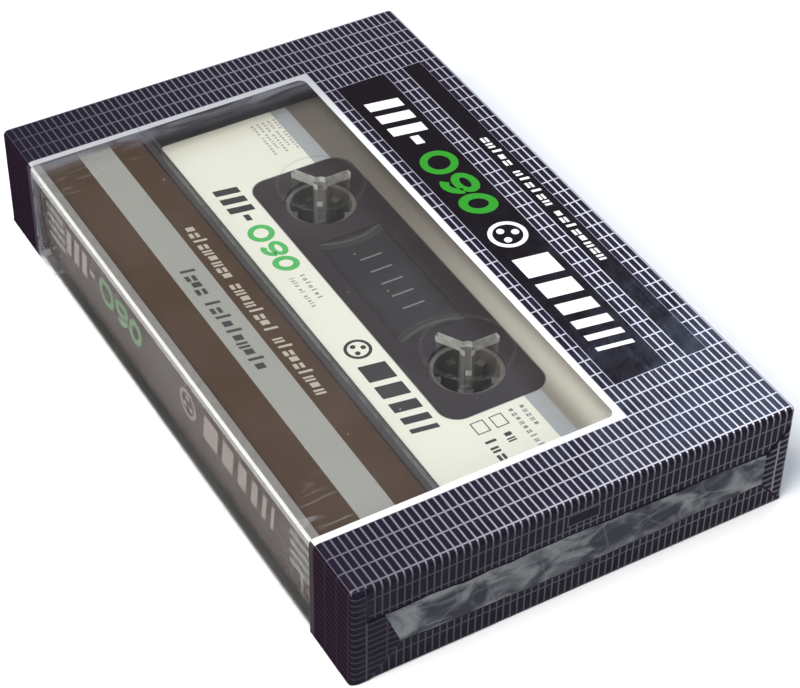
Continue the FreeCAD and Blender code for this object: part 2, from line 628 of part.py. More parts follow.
def tangent(c1, r1, c2, r2, side):
    """Touch points of the outer tangent of two circles on the given side of c1->c2."""
    dx, dy = c2[0] - c1[0], c2[1] - c1[1]
    d = math.hypot(dx, dy)
    base = math.atan2(dy, dx)
    a = base + side * math.acos((r1 - r2) / d)
    return ((c1[0] + r1 * math.cos(a), c1[1] + r1 * math.sin(a)),
            (c2[0] + r2 * math.cos(a), c2[1] + r2 * math.sin(a)), a)


def tape_wire(off):
    rr = val("rollerRadius") + val("tapeOff") + off
    rs = val("supplyPack") + val("tapeOff") + off
    rt = val("takeupPack") + val("tapeOff") + off
    hs, ht = (-val("hubHalf"), val("hubLine")), (val("hubHalf"), val("hubLine"))
    rl, rr_c = (-val("rollerX"), val("rollerY")), (val("rollerX"), val("rollerY"))
    p1, p2, a = tangent(hs, rs, rl, rr, -1)
    q1, q2, c = tangent(ht, rt, rr_c, rr, 1)

    def mid(centre, radius, a0, a1):
        m = (a0 + a1) / 2
        return (centre[0] + radius * math.cos(m), centre[1] + radius * math.sin(m))

    down = -math.pi / 2
    a = a % (2 * math.pi) - 2 * math.pi
    c = (c + math.pi) % (2 * math.pi) - math.pi
    low_l, low_r = (rl[0], rl[1] - rr), (rr_c[0], rr_c[1] - rr)
    return [p1, p2, mid(rl, rr, a, down), low_l, low_r, mid(rr_c, rr, down, c), q2, q1]


def tape_edges(pts):
    P = [V(x, y, 0) for x, y in pts]
    return [Part.LineSegment(P[0], P[1]).toShape(),
            Part.Arc(P[1], P[2], P[3]).toShape(),
            Part.LineSegment(P[3], P[4]).toShape(),
            Part.Arc(P[4], P[5], P[6]).toShape(),
            Part.LineSegment(P[6], P[7]).toShape()], P


# the ribbon between the two packs: a thin strip wrapped round both rollers
inner_edges, P = tape_edges(tape_wire(0.0))
outer_edges, Q = tape_edges(tape_wire(val("tapeThick")))
loop = inner_edges + [Part.LineSegment(P[7], Q[7]).toShape()] + outer_edges \
    + [Part.LineSegment(Q[0], P[0]).toShape()]
wire = Part.Wire(Part.__sortEdges__(loop))
ribbon = Part.Face(wire).extrude(V(0, 0, 2 * val("tapeHalf")))
tape_run = doc.addObject("Part::Feature", "tape_run")
tape_run.Shape = ribbon
tape_run.Placement = FreeCAD.Placement(V(0, 0, val("shellMid") - val("tapeHalf")), FreeCAD.Rotation())

# ------------------------------------------------ pressure pad and shield
fillet("pressure_pad",
       box("pad_block", "-padHalf", "padHalf", "padNear", "padNear+padThick",
           "shellMid-padTall", "shellMid+padTall"),
       lambda m, d: m.y < val("padNear") + 0.01, "caseRound")
leaf_y = "padNear+padThick"
fuse("pad_spring", [
    box("leaf_strip", "-leafHalf", "leafHalf", leaf_y, leaf_y + "+leafThick",
        "shellMid-leafTall", "shellMid+leafTall"),
    box("leaf_hook_right", "leafHalf-leafThick", "leafHalf", leaf_y, leaf_y + "+leafHook",
        "shellMid-leafTall", "shellMid+leafTall"),
    box("leaf_hook_left", "-leafHalf", "-leafHalf+leafThick", leaf_y, leaf_y + "+leafHook",
        "shellMid-leafTall", "shellMid+leafTall")])
fuse("shield_plate", [
    box("shield_back", "-shieldHalf", "shieldHalf", "shieldNear", "shieldNear+shieldThick",
        "shellMid-shellHalf+shellWall", "shellMid+shellHalf-shellWall"),
    box("shield_lip_right", "shieldHalf-shieldThick", "shieldHalf", "shieldNear-0.6",
        "shieldNear+shieldThick", "shellMid-shellHalf+shellWall", "shellMid+shellHalf-shellWall"),
    box("shield_lip_left", "-shieldHalf", "-shieldHalf+shieldThick", "shieldNear-0.6",
        "shieldNear+shieldThick", "shellMid-shellHalf+shellWall", "shellMid+shellHalf-shellWall")])

# ================================================================== output
NODES = ["film_base_sheet", "film_spine_wrap", "film_top_wrap", "case_holder", "case_cover", "insert_card",
         "shell_front", "shell_back", "label_a", "label_b", "window_a", "window_b",
         "slip_sheet_a", "slip_sheet_b",
         "screw_back_right", "screw_back_left", "screw_front_right", "screw_front_left",
         "screw_middle",
         "hub_supply", "hub_takeup", "hub_clamp_supply", "hub_clamp_takeup",
         "tape_pack_supply", "tape_pack_takeup", "tape_run",
         "guide_roller_left", "guide_roller_right", "roller_pin_left", "roller_pin_right",
         "pressure_pad", "pad_spring", "shield_plate"]

doc.recompute()
for o in doc.Objects:
    if "Invalid" in o.State or "Error" in o.State:
        raise RuntimeError("bad state: %s %s" % (o.Name, o.State))

os.makedirs("parts", exist_ok=True)
for node in NODES:
    o = doc.getObject(node)
    o.Label = node
    shape = o.Shape
    if shape.isNull() or not shape.isValid() or not shape.Solids:
        raise RuntimeError("bad shape: " + node)
    if len(shape.Solids) != 1:
        raise RuntimeError("%s has %d solids" % (node, len(shape.Solids)))
    shape.exportStep("parts/%s.step" % node)
    bb = shape.BoundBox
    print("%-20s vol %9.2f  x %7.2f %7.2f  y %7.2f %7.2f  z %6.2f %6.2f" % (
        node, shape.Volume, bb.XMin, bb.XMax, bb.YMin, bb.YMax, bb.ZMin, bb.ZMax))
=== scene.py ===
import bpy
import bmesh
import math
import random
from mathutils import Vector, Matrix


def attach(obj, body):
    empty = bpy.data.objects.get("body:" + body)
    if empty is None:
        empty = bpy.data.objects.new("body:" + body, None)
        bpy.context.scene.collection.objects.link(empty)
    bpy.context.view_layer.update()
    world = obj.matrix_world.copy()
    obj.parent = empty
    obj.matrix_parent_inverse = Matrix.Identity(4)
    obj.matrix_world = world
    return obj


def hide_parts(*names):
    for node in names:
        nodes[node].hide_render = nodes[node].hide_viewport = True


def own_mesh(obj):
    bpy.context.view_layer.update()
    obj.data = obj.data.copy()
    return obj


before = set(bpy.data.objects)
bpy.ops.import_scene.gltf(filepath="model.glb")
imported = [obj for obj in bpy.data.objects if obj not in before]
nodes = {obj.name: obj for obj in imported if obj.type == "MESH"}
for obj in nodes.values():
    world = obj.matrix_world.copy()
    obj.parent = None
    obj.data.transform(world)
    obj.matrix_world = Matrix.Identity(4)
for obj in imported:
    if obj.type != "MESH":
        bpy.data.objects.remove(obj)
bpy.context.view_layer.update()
MM = 0.001
random.seed(7)

# ------------------------------------------------------------ main sizes, mm
HX, HY, TOP = 54.7, 34.45, 17.4          # film outside
HINGE_Y, HINGE_Z = -25.5, 8.7
R_POCKET, R_COVER = 12.83, 12.86           # film parting line round the hinge
FILM_R = 0.95
PITCH_X, PITCH_Y, ROW0 = 3.0, 1.08, 13.35
WIN_X, WIN_Y, BORDER = 45.0, 13.35, 1.05
HUB_X, HUB_Y = 21.25, 3.0


# =============================================================== node helpers
class Sock:
    """A scalar socket with arithmetic, so a pattern reads as a formula."""

    def __init__(self, nt, s):
        self.nt, self.s = nt, s

    def _op(self, op, *others, clamp=False):
        n = self.nt.nodes.new("ShaderNodeMath")
        n.operation = op
        n.use_clamp = clamp
        for i, v in enumerate((self,) + others):
            if isinstance(v, Sock):
                self.nt.links.new(v.s, n.inputs[i])
            else:
                n.inputs[i].default_value = float(v)
        return Sock(self.nt, n.outputs[0])

    def __add__(self, o):
        return self._op("ADD", o)

    __radd__ = __add__

    def __sub__(self, o):
        return self._op("SUBTRACT", o)

    def __rsub__(self, o):
        return (self * -1.0) + o

    def __mul__(self, o):
        return self._op("MULTIPLY", o)

    __rmul__ = __mul__

    def __truediv__(self, o):
        return self._op("DIVIDE", o)

    def __neg__(self):
        return self * -1.0

    def abs(self):
        return self._op("ABSOLUTE")

    def gt(self, o):
        return self._op("GREATER_THAN", o)

    def lt(self, o):
        return self._op("LESS_THAN", o)

    def max(self, o):
        return self._op("MAXIMUM", o)

    def min(self, o):
        return self._op("MINIMUM", o)

    def pow(self, o):
        return self._op("POWER", o)

    def sqrt(self):
        return self._op("SQRT")

    def sin(self):
        return self._op("SINE")

    def wrap(self, period):
        n = self.nt.nodes.new("ShaderNodeMath")
        n.operation = "FLOORED_MODULO"
        self.nt.links.new(self.s, n.inputs[0])
        n.inputs[1].default_value = period
        return Sock(self.nt, n.outputs[0])

    def ramp(self, a, b, lo=0.0, hi=1.0, smooth=True):
        n = self.nt.nodes.new("ShaderNodeMapRange")
        n.interpolation_type = "SMOOTHSTEP" if smooth else "LINEAR"
        n.clamp = True
        self.nt.links.new(self.s, n.inputs["Value"])
        n.inputs["From Min"].default_value = a
        n.inputs["From Max"].default_value = b
        n.inputs["To Min"].default_value = lo
        n.inputs["To Max"].default_value = hi
        return Sock(self.nt, n.outputs["Result"])


class Mat:
    """A material being built, with its coordinates in millimetres."""

    def __init__(self, name):
        self.m = bpy.data.materials.new(name)
        self.m.use_nodes = True
        self.nt = self.m.node_tree
        self.nt.nodes.clear()
        self.out = self.nt.nodes.new("ShaderNodeOutputMaterial")
        tc = self.nt.nodes.new("ShaderNodeTexCoord")
        sc = self.nt.nodes.new("ShaderNodeVectorMath")
        sc.operation = "SCALE"
        sc.inputs["Scale"].default_value = 1000.0
        self.nt.links.new(tc.outputs["Object"], sc.inputs[0])
        self.pos = sc.outputs[0]
        sep = self.nt.nodes.new("ShaderNodeSeparateXYZ")
        self.nt.links.new(self.pos, sep.inputs[0])
        self.x, self.y, self.z = (Sock(self.nt, sep.outputs[i]) for i in range(3))

    def scaled(self, v):
        n = self.nt.nodes.new("ShaderNodeVectorMath")
        n.operation = "MULTIPLY"
        self.nt.links.new(self.pos, n.inputs[0])
        n.inputs[1].default_value = v
        return n.outputs[0]

    def noise(self, scale, detail=3.0, rough=0.5, stretch=None, distortion=0.0, lac=2.0):
        n = self.nt.nodes.new("ShaderNodeTexNoise")
        n.inputs["Scale"].default_value = scale
        n.inputs["Detail"].default_value = detail
        n.inputs["Roughness"].default_value = rough
        n.inputs["Distortion"].default_value = distortion
        self.nt.links.new(self.scaled(stretch) if stretch else self.pos, n.inputs["Vector"])
        return Sock(self.nt, n.outputs[0])

    def voronoi(self, scale, feature="F1", stretch=None, rand=1.0):
        n = self.nt.nodes.new("ShaderNodeTexVoronoi")
        n.feature = feature
        n.inputs["Scale"].default_value = scale
        n.inputs["Randomness"].default_value = rand
        self.nt.links.new(self.scaled(stretch) if stretch else self.pos, n.inputs["Vector"])
        return Sock(self.nt, n.outputs[0])

    def mixc(self, fac, a, b):
        """Colour mix; a and b are RGB tuples or colour sockets."""
        n = self.nt.nodes.new("ShaderNodeMix")
        n.data_type = "RGBA"
        n.blend_type = "MIX"
        if isinstance(fac, Sock):
            self.nt.links.new(fac.s, n.inputs[0])
        else:
            n.inputs[0].default_value = fac
        for i, c in ((6, a), (7, b)):
            if isinstance(c, tuple):
                n.inputs[i].default_value = (*c, 1.0)
            else:
                self.nt.links.new(c, n.inputs[i])
        return n.outputs[2]

    def bump(self, height, distance=0.0001, strength=1.0, normal=None):
        n = self.nt.nodes.new("ShaderNodeBump")
        n.inputs["Strength"].default_value = strength
        n.inputs["Distance"].default_value = distance
        self.nt.links.new(height.s, n.inputs["Height"])
        if normal is not None:
            self.nt.links.new(normal, n.inputs["Normal"])
        return n.outputs[0]

    def principled(self, color, rough, metallic=0.0, normal=None, ior=1.5, spec=0.5, coat=0.0,
                   coat_rough=0.05, sheen=0.0, sss=0.0):
        n = self.nt.nodes.new("ShaderNodeBsdfPrincipled")
        if isinstance(color, tuple):
            n.inputs["Base Color"].default_value = (*color, 1.0)
        else:
            self.nt.links.new(color, n.inputs["Base Color"])
        if isinstance(rough, Sock):
            self.nt.links.new(rough.s, n.inputs["Roughness"])
        else:
            n.inputs["Roughness"].default_value = rough
        n.inputs["Metallic"].default_value = metallic
        n.inputs["IOR"].default_value = ior
        n.inputs["Specular IOR Level"].default_value = spec
        n.inputs["Coat Weight"].default_value = coat
        n.inputs["Coat Roughness"].default_value = coat_rough
        n.inputs["Sheen Weight"].default_value = sheen
        if normal is not None:
            self.nt.links.new(normal, n.inputs["Normal"])
            if coat > 0:
                self.nt.links.new(normal, n.inputs["Coat Normal"])
        return n.outputs[0]

    def transparent(self, color=(1, 1, 1)):
        n = self.nt.nodes.new("ShaderNodeBsdfTransparent")
        if isinstance(color, tuple):
            n.inputs[0].default_value = (*color, 1.0)
        else:
            self.nt.links.new(color, n.inputs[0])
        return n.outputs[0]

    def glossy(self, rough=0.05, color=(1, 1, 1), normal=None):
        n = self.nt.nodes.new("ShaderNodeBsdfAnisotropic")
        n.inputs["Color"].default_value = (*color, 1.0)
        n.inputs["Roughness"].default_value = rough
        if normal is not None:
            self.nt.links.new(normal, n.inputs["Normal"])
        return n.outputs[0]

    def diffuse(self, color, normal=None):
        n = self.nt.nodes.new("ShaderNodeBsdfDiffuse")
        if isinstance(color, tuple):
            n.inputs[0].default_value = (*color, 1.0)
        else:
            self.nt.links.new(color, n.inputs[0])
        if normal is not None:
            self.nt.links.new(normal, n.inputs["Normal"])
        return n.outputs[0]

    def fresnel(self, ior=1.5, normal=None, top=0.9):
        """Reflection that is the same from both sides of a thin wall."""
        n = self.nt.nodes.new("ShaderNodeLayerWeight")
        n.inputs["Blend"].default_value = 0.5
        if normal is not None:
            self.nt.links.new(normal, n.inputs["Normal"])
        f0 = ((ior - 1.0) / (ior + 1.0)) ** 2
        return Sock(self.nt, n.outputs["Facing"]).pow(5.0) * (top - f0) + f0

    def mix(self, fac, a, b):
        n = self.nt.nodes.new("ShaderNodeMixShader")
        if isinstance(fac, Sock):
            self.nt.links.new(fac.s, n.inputs[0])
        else:
            n.inputs[0].default_value = fac
        self.nt.links.new(a, n.inputs[1])
        self.nt.links.new(b, n.inputs[2])
        return n.outputs[0]

    def done(self, shader):
        self.nt.links.new(shader, self.out.inputs[0])
        return self.m


# ================================================================== materials
def soft_line(d, half, soft=0.05):
    """1 within half of the line, where d is the distance from it."""
    return d.ramp(half - soft, half + soft, 1.0, 0.0, smooth=False)


def shade_to_left(M):
    """Painted shade: the grid is duller towards the left end of the wrap."""
    return M.x.ramp(-50.0, 10.0, 0.42, 1.0, smooth=False)


def film_material():
    """Gloss film: a dark print with a thin light grid, a clear window with a
    white border, and folded, heat-sealed ends."""
    M = Mat("printed_film")
    X, y, z = M.x.abs(), M.y, M.z
    drop = (TOP - z)
    is_end = X.gt(HX - 0.32)
    is_flat = (z.gt(TOP - 0.32)).max(z.lt(0.2))
    is_side = y.abs().gt(HY - 0.32) * (1.0 - is_end)
    U = X + drop * is_end
    V = y + is_side * drop * y.gt(0.0) - is_side * drop * y.lt(0.0)
    du = ((U + PITCH_X / 2).wrap(PITCH_X) - PITCH_X / 2).abs()
    dv = ((V - ROW0 + PITCH_Y / 2).wrap(PITCH_Y) - PITCH_Y / 2).abs()
    grid = soft_line(du, 0.10, 0.05).max(soft_line(dv, 0.115, 0.05))

    def band(lo, hi):
        return X.lt(39.0) * y.gt(lo) * y.lt(hi) * z.gt(TOP - 0.5)

    bands = band(15.5, 24.15).max(band(27.45, 30.7))
    # clear window over the lug side and the spine
    inside_x, inside_y = WIN_X - BORDER, WIN_Y - BORDER
    rc = 1.3
    cx = (X - (inside_x - rc)).max(0.0)
    cy = (y - (inside_y - rc)).max(0.0)
    corner = (cx * cx + cy * cy).sqrt()
    clear = corner.ramp(rc - 0.05, rc + 0.05, 1.0, 0.0, smooth=False)
    under = z.lt(0.5) * y.gt(-30.5)
    over = 1.0 - under
    clear = clear * over * (1.0 - is_end)
    border = X.lt(WIN_X) * y.lt(WIN_Y) * over * (1.0 - is_end)
    # folded ends: which fold covers a point
    a, b = y + HY, HY - y
    wav = (M.noise(0.16, 2.0, 0.5) - 0.5)
    low_edge = 11.35 - (a * 0.012) + wav * 0.9
    t1 = z - low_edge
    t2 = a - 2.45
    t3 = z - (14.7 - b)
    top_flap = t1.min(t2).min(t3)                  # >0 on the upper flap
    high_edge = 4.3 + (a - HY).abs() * 0.022 + wav * 0.8
    q1 = high_edge - z
    q2 = (a - 2.8) * 1.07 - z
    q3 = (b - 0.4) * 1.2 - z
    low_flap = q1.min(q2).min(q3)                  # >0 on the lower flap
    tuck = ((4.95 + (11.3 - z) * 0.383) - a).max(4.3 - b)
    on_top, on_low = top_flap.gt(0.0), low_flap.gt(0.0)
    on_tuck = tuck.gt(0.0) * (1.0 - on_top) * (1.0 - on_low)
    strip = is_end * (1.0 - on_top) * (1.0 - on_low) * (1.0 - on_tuck)
    # painted shade: dark lines along the edges of the folded flaps
    flap_edge_shade = (soft_line(top_flap.abs(), 0.22, 0.12).max(soft_line(low_flap.abs(), 0.2, 0.1))) * is_end
    # tucks carry the side's rows, turned level
    dt = ((z + PITCH_Y / 2).wrap(PITCH_Y) - PITCH_Y / 2).abs()
    cross = soft_line((a - 2.3).abs(), 0.14, 0.06).max(soft_line((a - 5.3).abs(), 0.12, 0.06) * 0.6)
    cross = cross.max(soft_line((b - 2.3).abs(), 0.14, 0.06))
    tucked = (soft_line(dt, 0.13, 0.05) * 0.6).max(cross)
    grid = grid * (1.0 - on_tuck * is_end) + tucked * on_tuck * is_end
    # small plain tag on the fold
    tag_in = is_end * (y - 0.3).abs().lt(2.35) * (z - 13.85).abs().lt(0.85)
    tag = is_end * (y - 0.3).abs().lt(2.55) * (z - 13.85).abs().lt(1.05)
    lines = grid * (1.0 - bands) * (1.0 - flap_edge_shade) * (1.0 - tag) + (tag - tag_in) * 0.8
    # painted light and shade in the grid: lines brighter towards the lit far side, on the far tucks and at the top of
    # the ends, darker towards the spine, on the sides and down the folds
    lit = y.ramp(-34.0, 26.0, 0.0, 1.0, smooth=False)
    painted_light_top = (lit * 0.74 + 0.14) * shade_to_left(M)
    painted_light_end = y.ramp(-34.0, 34.0, 0.045, 0.13, smooth=False) + on_tuck * y.ramp(25.0, 33.0, 0.0, 0.12) + z.ramp(15.8, 17.4, 0.0, 0.12)
    painted_light_level = painted_light_top * (1.0 - is_end) * (1.0 - is_side * 0.55 - is_side * y.lt(0.0) * 0.27) + painted_light_end * is_end
    patch = M.noise(0.05, 3.0, 0.6)
    ink = M.mixc(patch, (0.009, 0.006, 0.015), (0.017, 0.012, 0.024))
    # painted shade: the ink is darker on the folded ends and the sides
    ink = M.mixc((is_end.max(is_side)) * 0.5, ink, (0.004, 0.003, 0.007))
    ink = M.mixc(bands, ink, (0.008, 0.005, 0.008))
    pale = M.mixc(patch, (0.70, 0.69, 0.80), (0.80, 0.80, 0.88))
    col = M.mixc(lines * painted_light_level, ink, pale)
    # painted shade: the white border is duller towards the left end and dark on the spine side
    rim = M.mixc(M.x.ramp(-46.0, -20.0), (0.42, 0.42, 0.43), (0.84, 0.84, 0.83))
    rim = M.mixc(is_side * y.lt(0.0), rim, (0.055, 0.05, 0.055))
    col = M.mixc(border, col, rim)
    # painted shade along the flap edges
    col = M.mixc(flap_edge_shade * 0.85, col, (0.004, 0.003, 0.007))
    # crumpled clear seal between the flaps
    cr = M.voronoi(0.16, "SMOOTH_F1", (1, 1, 1.6))
    cr2 = M.noise(0.17, 3.0, 0.55, (1, 0.8, 1.5), 0.9)
    crease = M.voronoi(0.17, "DISTANCE_TO_EDGE", (1, 1.0, 1.2)).ramp(0.0, 0.05, 1.0, 0.0)
    grey = M.mixc(cr2.ramp(0.38, 0.66), (0.030, 0.030, 0.042), (0.150, 0.160, 0.165))
    grey = M.mixc(crease * 0.10, grey, (0.30, 0.32, 0.34))
    col = M.mixc(strip, col, grey)
    # surface: gentle cockle everywhere, stronger on the folds
    soft = M.noise(0.11, 2.0, 0.5, (1.0, 0.55, 1.0))
    fine = M.noise(0.9, 2.0, 0.55)
    long = M.noise(0.25, 2.0, 0.5, (0.35, 1.5, 1.0), 0.6)
    h = soft * 0.55 + fine * 0.035 + long * 0.10
    h = h + strip * (cr * 0.6 + cr2 * 0.8) + is_end * (1.0 - strip) * long * 0.25
    nrm = M.bump(h, 0.0009, 0.55)
    rough = M.noise(0.4, 3.0, 0.6).ramp(0.3, 0.7, 0.16, 0.26)
    body = M.principled(col, rough, normal=nrm, ior=1.45, spec=0.22)
    folded = M.principled(col, rough, normal=nrm, ior=1.45, spec=0.03)
    body = M.mix(is_end.max(is_side), body, folded)
    # painted shade: the spine side is matt and its colour is darkened towards a dull brown
    body = M.mix(is_side * y.lt(0.0), body, M.diffuse(M.mixc(0.35, col, (0.022, 0.010, 0.015)), nrm))
    fr = M.fresnel(1.42, nrm, 0.30) * (1.0 - is_side * y.lt(0.0) * 0.75)
    haze = M.noise(0.07, 4.0, 0.6).ramp(0.35, 0.75, 0.006, 0.022)
    see = M.mix(haze, M.transparent((0.985, 0.985, 0.98)), M.diffuse((0.85, 0.85, 0.84)))
    see = M.mix(fr, see, M.glossy(0.10, (0.86, 0.80, 0.84), nrm))
    # painted highlights: pale streaks at the corners of the spine, standing for light caught in wrinkles of the film
    corner_glint_mask = X.ramp(30.0, 46.0) * y.ramp(-34.4, -14.0, 1.0, 0.0) * over
    wrinkle_glint = M.noise(0.45, 3.0, 0.6, (1.0, 0.16, 0.5), 1.5).ramp(0.56, 0.68)
    see = M.mix(wrinkle_glint * corner_glint_mask * 0.22, see, M.diffuse((0.62, 0.62, 0.64)))
    # pale reflection lying along the left border of the window
    veil = M.x.ramp(-44.2, -39.5, 1.0, 0.0) * over
    veil = veil * M.noise(0.30, 3.0, 0.6, (1.6, 0.25, 1.0), 0.8).ramp(0.30, 0.70, 0.05, 0.30)
    see = M.mix(veil, see, M.diffuse((0.50, 0.49, 0.56)))
    # specks of dust under the clear window
    dust = M.voronoi(0.30, "F1").lt(0.035) * M.noise(0.13, 1.0).gt(0.55)
    see = M.mix(dust * 0.5, see, M.diffuse((0.7, 0.66, 0.6)))
    return M.done(M.mix(clear, body, see))


def case_material():
    """Clear moulded polystyrene, with light painted in: pale where light leaves its edges, and painted highlights on
    the lugs and the seam.
    """
    M = Mat("clear_case")
    x, y, z = M.x, M.y, M.z
    flow = M.noise(0.06, 3.0, 0.5, (1, 0.4, 1))
    fine = M.noise(1.6, 2.0, 0.5)
    nrm = M.bump(flow * 0.6 + fine * 0.03, 0.0006, 0.35)
    fr = M.fresnel(1.40, nrm, 0.22) * (1.0 - y.lt(-32.4) * z.lt(16.9) * 0.8)
    clear = M.mix(fr, M.transparent((0.955, 0.955, 0.945)), M.glossy(0.05, (0.75, 0.75, 0.75), nrm))
    # spine wall seen on its edge: painted grey light in its thickness and a painted highlight along its outer edge
    wall = y.lt(-32.75) * z.gt(15.6)
    painted_edge_highlight = y.lt(-33.92) * z.gt(16.7)
    # lug blades and the ring round each: painted highlights on the blade tips, the posts and the ring
    dx = x.abs() - HUB_X
    dy = y - HUB_Y
    r = (dx * dx + dy * dy).sqrt()
    inside = z.lt(15.95)
    tip = inside * z.gt(14.9) * r.lt(5.35)
    post = inside * (r.lt(1.15) * 0.9).max(r.gt(4.55) * r.lt(5.35) * 0.35)
    stem = inside * r.lt(5.3)
    ring = inside * r.gt(6.2) * r.lt(7.1)
    # painted highlight along the seam of the cover
    edge = (y.gt(-16.2) * y.lt(-14.2) * z.gt(15.9) * z.lt(17.17))
    tone = M.noise(0.8, 3.0, 0.6)
    pale = M.mixc(tone, (0.62, 0.62, 0.58), (0.92, 0.92, 0.88))
    pale = M.mixc(wall * (1.0 - painted_edge_highlight), pale, M.mixc(tone, (0.20, 0.19, 0.175), (0.33, 0.315, 0.295)))
    # painted light: a pale shader mixed into the clear plastic wherever light is painted
    painted_light_shader = M.principled(pale, 0.18, normal=nrm, ior=1.5)
    painted_light_amount = (wall * 0.70 + painted_edge_highlight * 0.05 + tip * (0.22 + tone * 0.5) + stem * 0.01 + post * (0.06 + tone * 0.22)
              + ring * 0.02 + edge * 0.05)
    return M.done(M.mix(painted_light_amount, clear, painted_light_shader))


def card_material():
    """Matt coated card printed brown with a silver band, on flap, spine and floor."""
    M = Mat("insert_card")
    x, y, z = M.x, M.y, M.z
    grain = M.noise(2.5, 4.0, 0.6)
    mottle = M.noise(0.12, 3.0, 0.5)
    brown = M.mixc(mottle, (0.056, 0.027, 0.011), (0.078, 0.039, 0.017))
    silver = M.mixc(grain, (0.30, 0.30, 0.275), (0.37, 0.37, 0.34))
    on_flap = z.gt(15.4)
    band = on_flap * y.gt(-26.3) * y.lt(-21.15)
    on_spine = y.lt(-32.6) * (1.0 - on_flap)
    ends = on_spine * x.abs().gt(36.0) * x.abs().lt(42.0) * z.gt(5.4) * z.lt(12.6)
    rows = ((z - 5.4).wrap(1.8)).lt(0.95)
    floor = z.lt(2.2)
    fband = floor * y.gt(-6.0) * y.lt(2.0)
    col = M.mixc(band.max(ends * rows).max(fband), brown, silver)
    col = M.mixc(on_spine * (1.0 - ends * rows) * 0.75, col, (0.060, 0.036, 0.032))
    fold = soft_line((y + 32.9).abs(), 0.18, 0.15) * z.gt(15.4)
    col = M.mixc(fold * 0.7, col, (0.55, 0.52, 0.46))
    edge = x.abs().gt(50.74)
    col = M.mixc(edge, col, (0.72, 0.70, 0.64))
    nrm = M.bump(grain * 0.5 + M.noise(0.5, 3.0) * 0.5, 0.00006, 0.5)
    return M.done(M.principled(col, grain.ramp(0.3, 0.7, 0.38, 0.52), normal=nrm, coat=0.12, coat_rough=0.25))


def shell_material():
    """Fine-grained dark moulded plastic."""
    M = Mat("cassette_shell")
    g = M.noise(5.5, 3.0, 0.65)
    broad = M.noise(0.09, 2.0, 0.5)
    col = M.mixc(broad, (0.030, 0.021, 0.025), (0.046, 0.033, 0.038))
    scuff = M.noise(0.7, 5.0, 0.7, (1, 0.2, 1)).ramp(0.62, 0.72)
    col = M.mixc(scuff * 0.18, col, (0.12, 0.11, 0.12))
    nrm = M.bump(g, 0.00004, 0.6)
    return M.done(M.principled(col, g.ramp(0.3, 0.7, 0.30, 0.42), normal=nrm))


def label_material(up):
    """Coated paper label: cream, then a silver band and a brown field, with light painted onto the brown field."""
    M = Mat("label_side_" + ("a" if up else "b"))
    x, y = M.x, M.y
    fib = M.noise(3.0, 4.0, 0.65, (1, 0.35, 1))
    tint = M.noise(0.05, 2.0)
    cream = M.mixc(fib * 0.5 + tint * 0.5, (0.86, 0.85, 0.74), (0.94, 0.93, 0.83))
    silver = M.mixc(fib, (0.36, 0.38, 0.40), (0.50, 0.52, 0.55))
    # painted reflection: the brown field grows lighter towards +x
    brown = M.mixc(x.ramp(-45.0, 45.0), (0.19, 0.165, 0.145), (0.34, 0.315, 0.275))
    # painted light: a pale area painted on the far part of the brown field
    brown = M.mixc(y.ramp(10.0, 13.5) * x.ramp(-20.0, 40.0), brown, (0.80, 0.76, 0.68))
    col = M.mixc(y.gt(6.8), cream, silver)
    col = M.mixc(y.gt(9.55), col, brown)
    # ink rules along the cut-out and the outer edge
    dx = (x.abs() - (30.0 - 3.0)).max(0.0)
    low = ((-5.2 + 3.0) - y).max(0.0)
    high = (y - (11.7 - 3.0)).max(0.0)
    d = ((dx * dx + (low + high) * (low + high)).sqrt() - 3.0).abs()
    rule = soft_line(d, 0.16, 0.06)
    col = M.mixc(rule * 0.8, col, (0.05, 0.045, 0.05))
    nrm = M.bump(fib, 0.00003, 0.5)
    return M.done(M.principled(col, 0.42, normal=nrm, coat=0.15, coat_rough=0.2))


def pane_material():
    """Smoked clear window with light tick rules moulded in it."""
    M = Mat("window_pane")
    x, y, z = M.x, M.y, M.z
    fine = M.noise(0.5, 2.0)
    nrm = M.bump(fine, 0.0001, 0.3)
    dx, dy = x.abs() - HUB_X, y - HUB_Y
    r = (dx * dx + dy * dy).sqrt()
    rim = (soft_line((r - 10.3).abs(), 0.3, 0.25) * 0.8).max(soft_line((r - 11.2).abs(), 0.2, 0.2) * 0.4) * z.gt(11.9)
    frame_line = (x.abs().gt(11.6) + y.lt(-1.9) + y.gt(7.6)).min(1.0) * z.gt(11.9)
    tick = (((x + 1.55).wrap(3.1) - 1.55).abs()).lt(0.16) * x.abs().lt(6.6) * y.gt(1.4) * y.lt(5.0) * z.gt(11.9)
    fr = M.fresnel(1.5, nrm)
    clear = M.mix(fr, M.transparent((0.50, 0.47, 0.49)), M.glossy(0.05, (1, 1, 1), nrm))
    tint = M.mixc(fine, (0.036, 0.030, 0.034), (0.050, 0.042, 0.046))
    tint = M.mixc(frame_line * 0.35, tint, (0.022, 0.018, 0.021))
    tint = M.mixc(rim * 0.5, tint, (0.20, 0.185, 0.18))
    tint = M.mixc(tick, tint, (0.22, 0.205, 0.215))
    milk = M.principled(tint, 0.35)
    return M.done(M.mix((tick * 0.2 + rim * 0.1 + 0.80).min(0.95), clear, milk))


def simple_plastic(name, a, b, scale, rough, bump=0.00005, spec=0.5, sheen=0.0, stretch=None,
                   metallic=0.0, coat=0.0):
    M = Mat(name)
    n = M.noise(scale, 4.0, 0.6, stretch)
    big = M.noise(scale * 0.12, 2.0)
    col = M.mixc(n * 0.6 + big * 0.4, a, b)
    nrm = M.bump(n, bump, 0.6)
    return M.done(M.principled(col, n.ramp(0.3, 0.7, rough * 0.85, rough * 1.2), metallic=metallic,
                               normal=nrm, spec=spec, sheen=sheen, coat=coat))


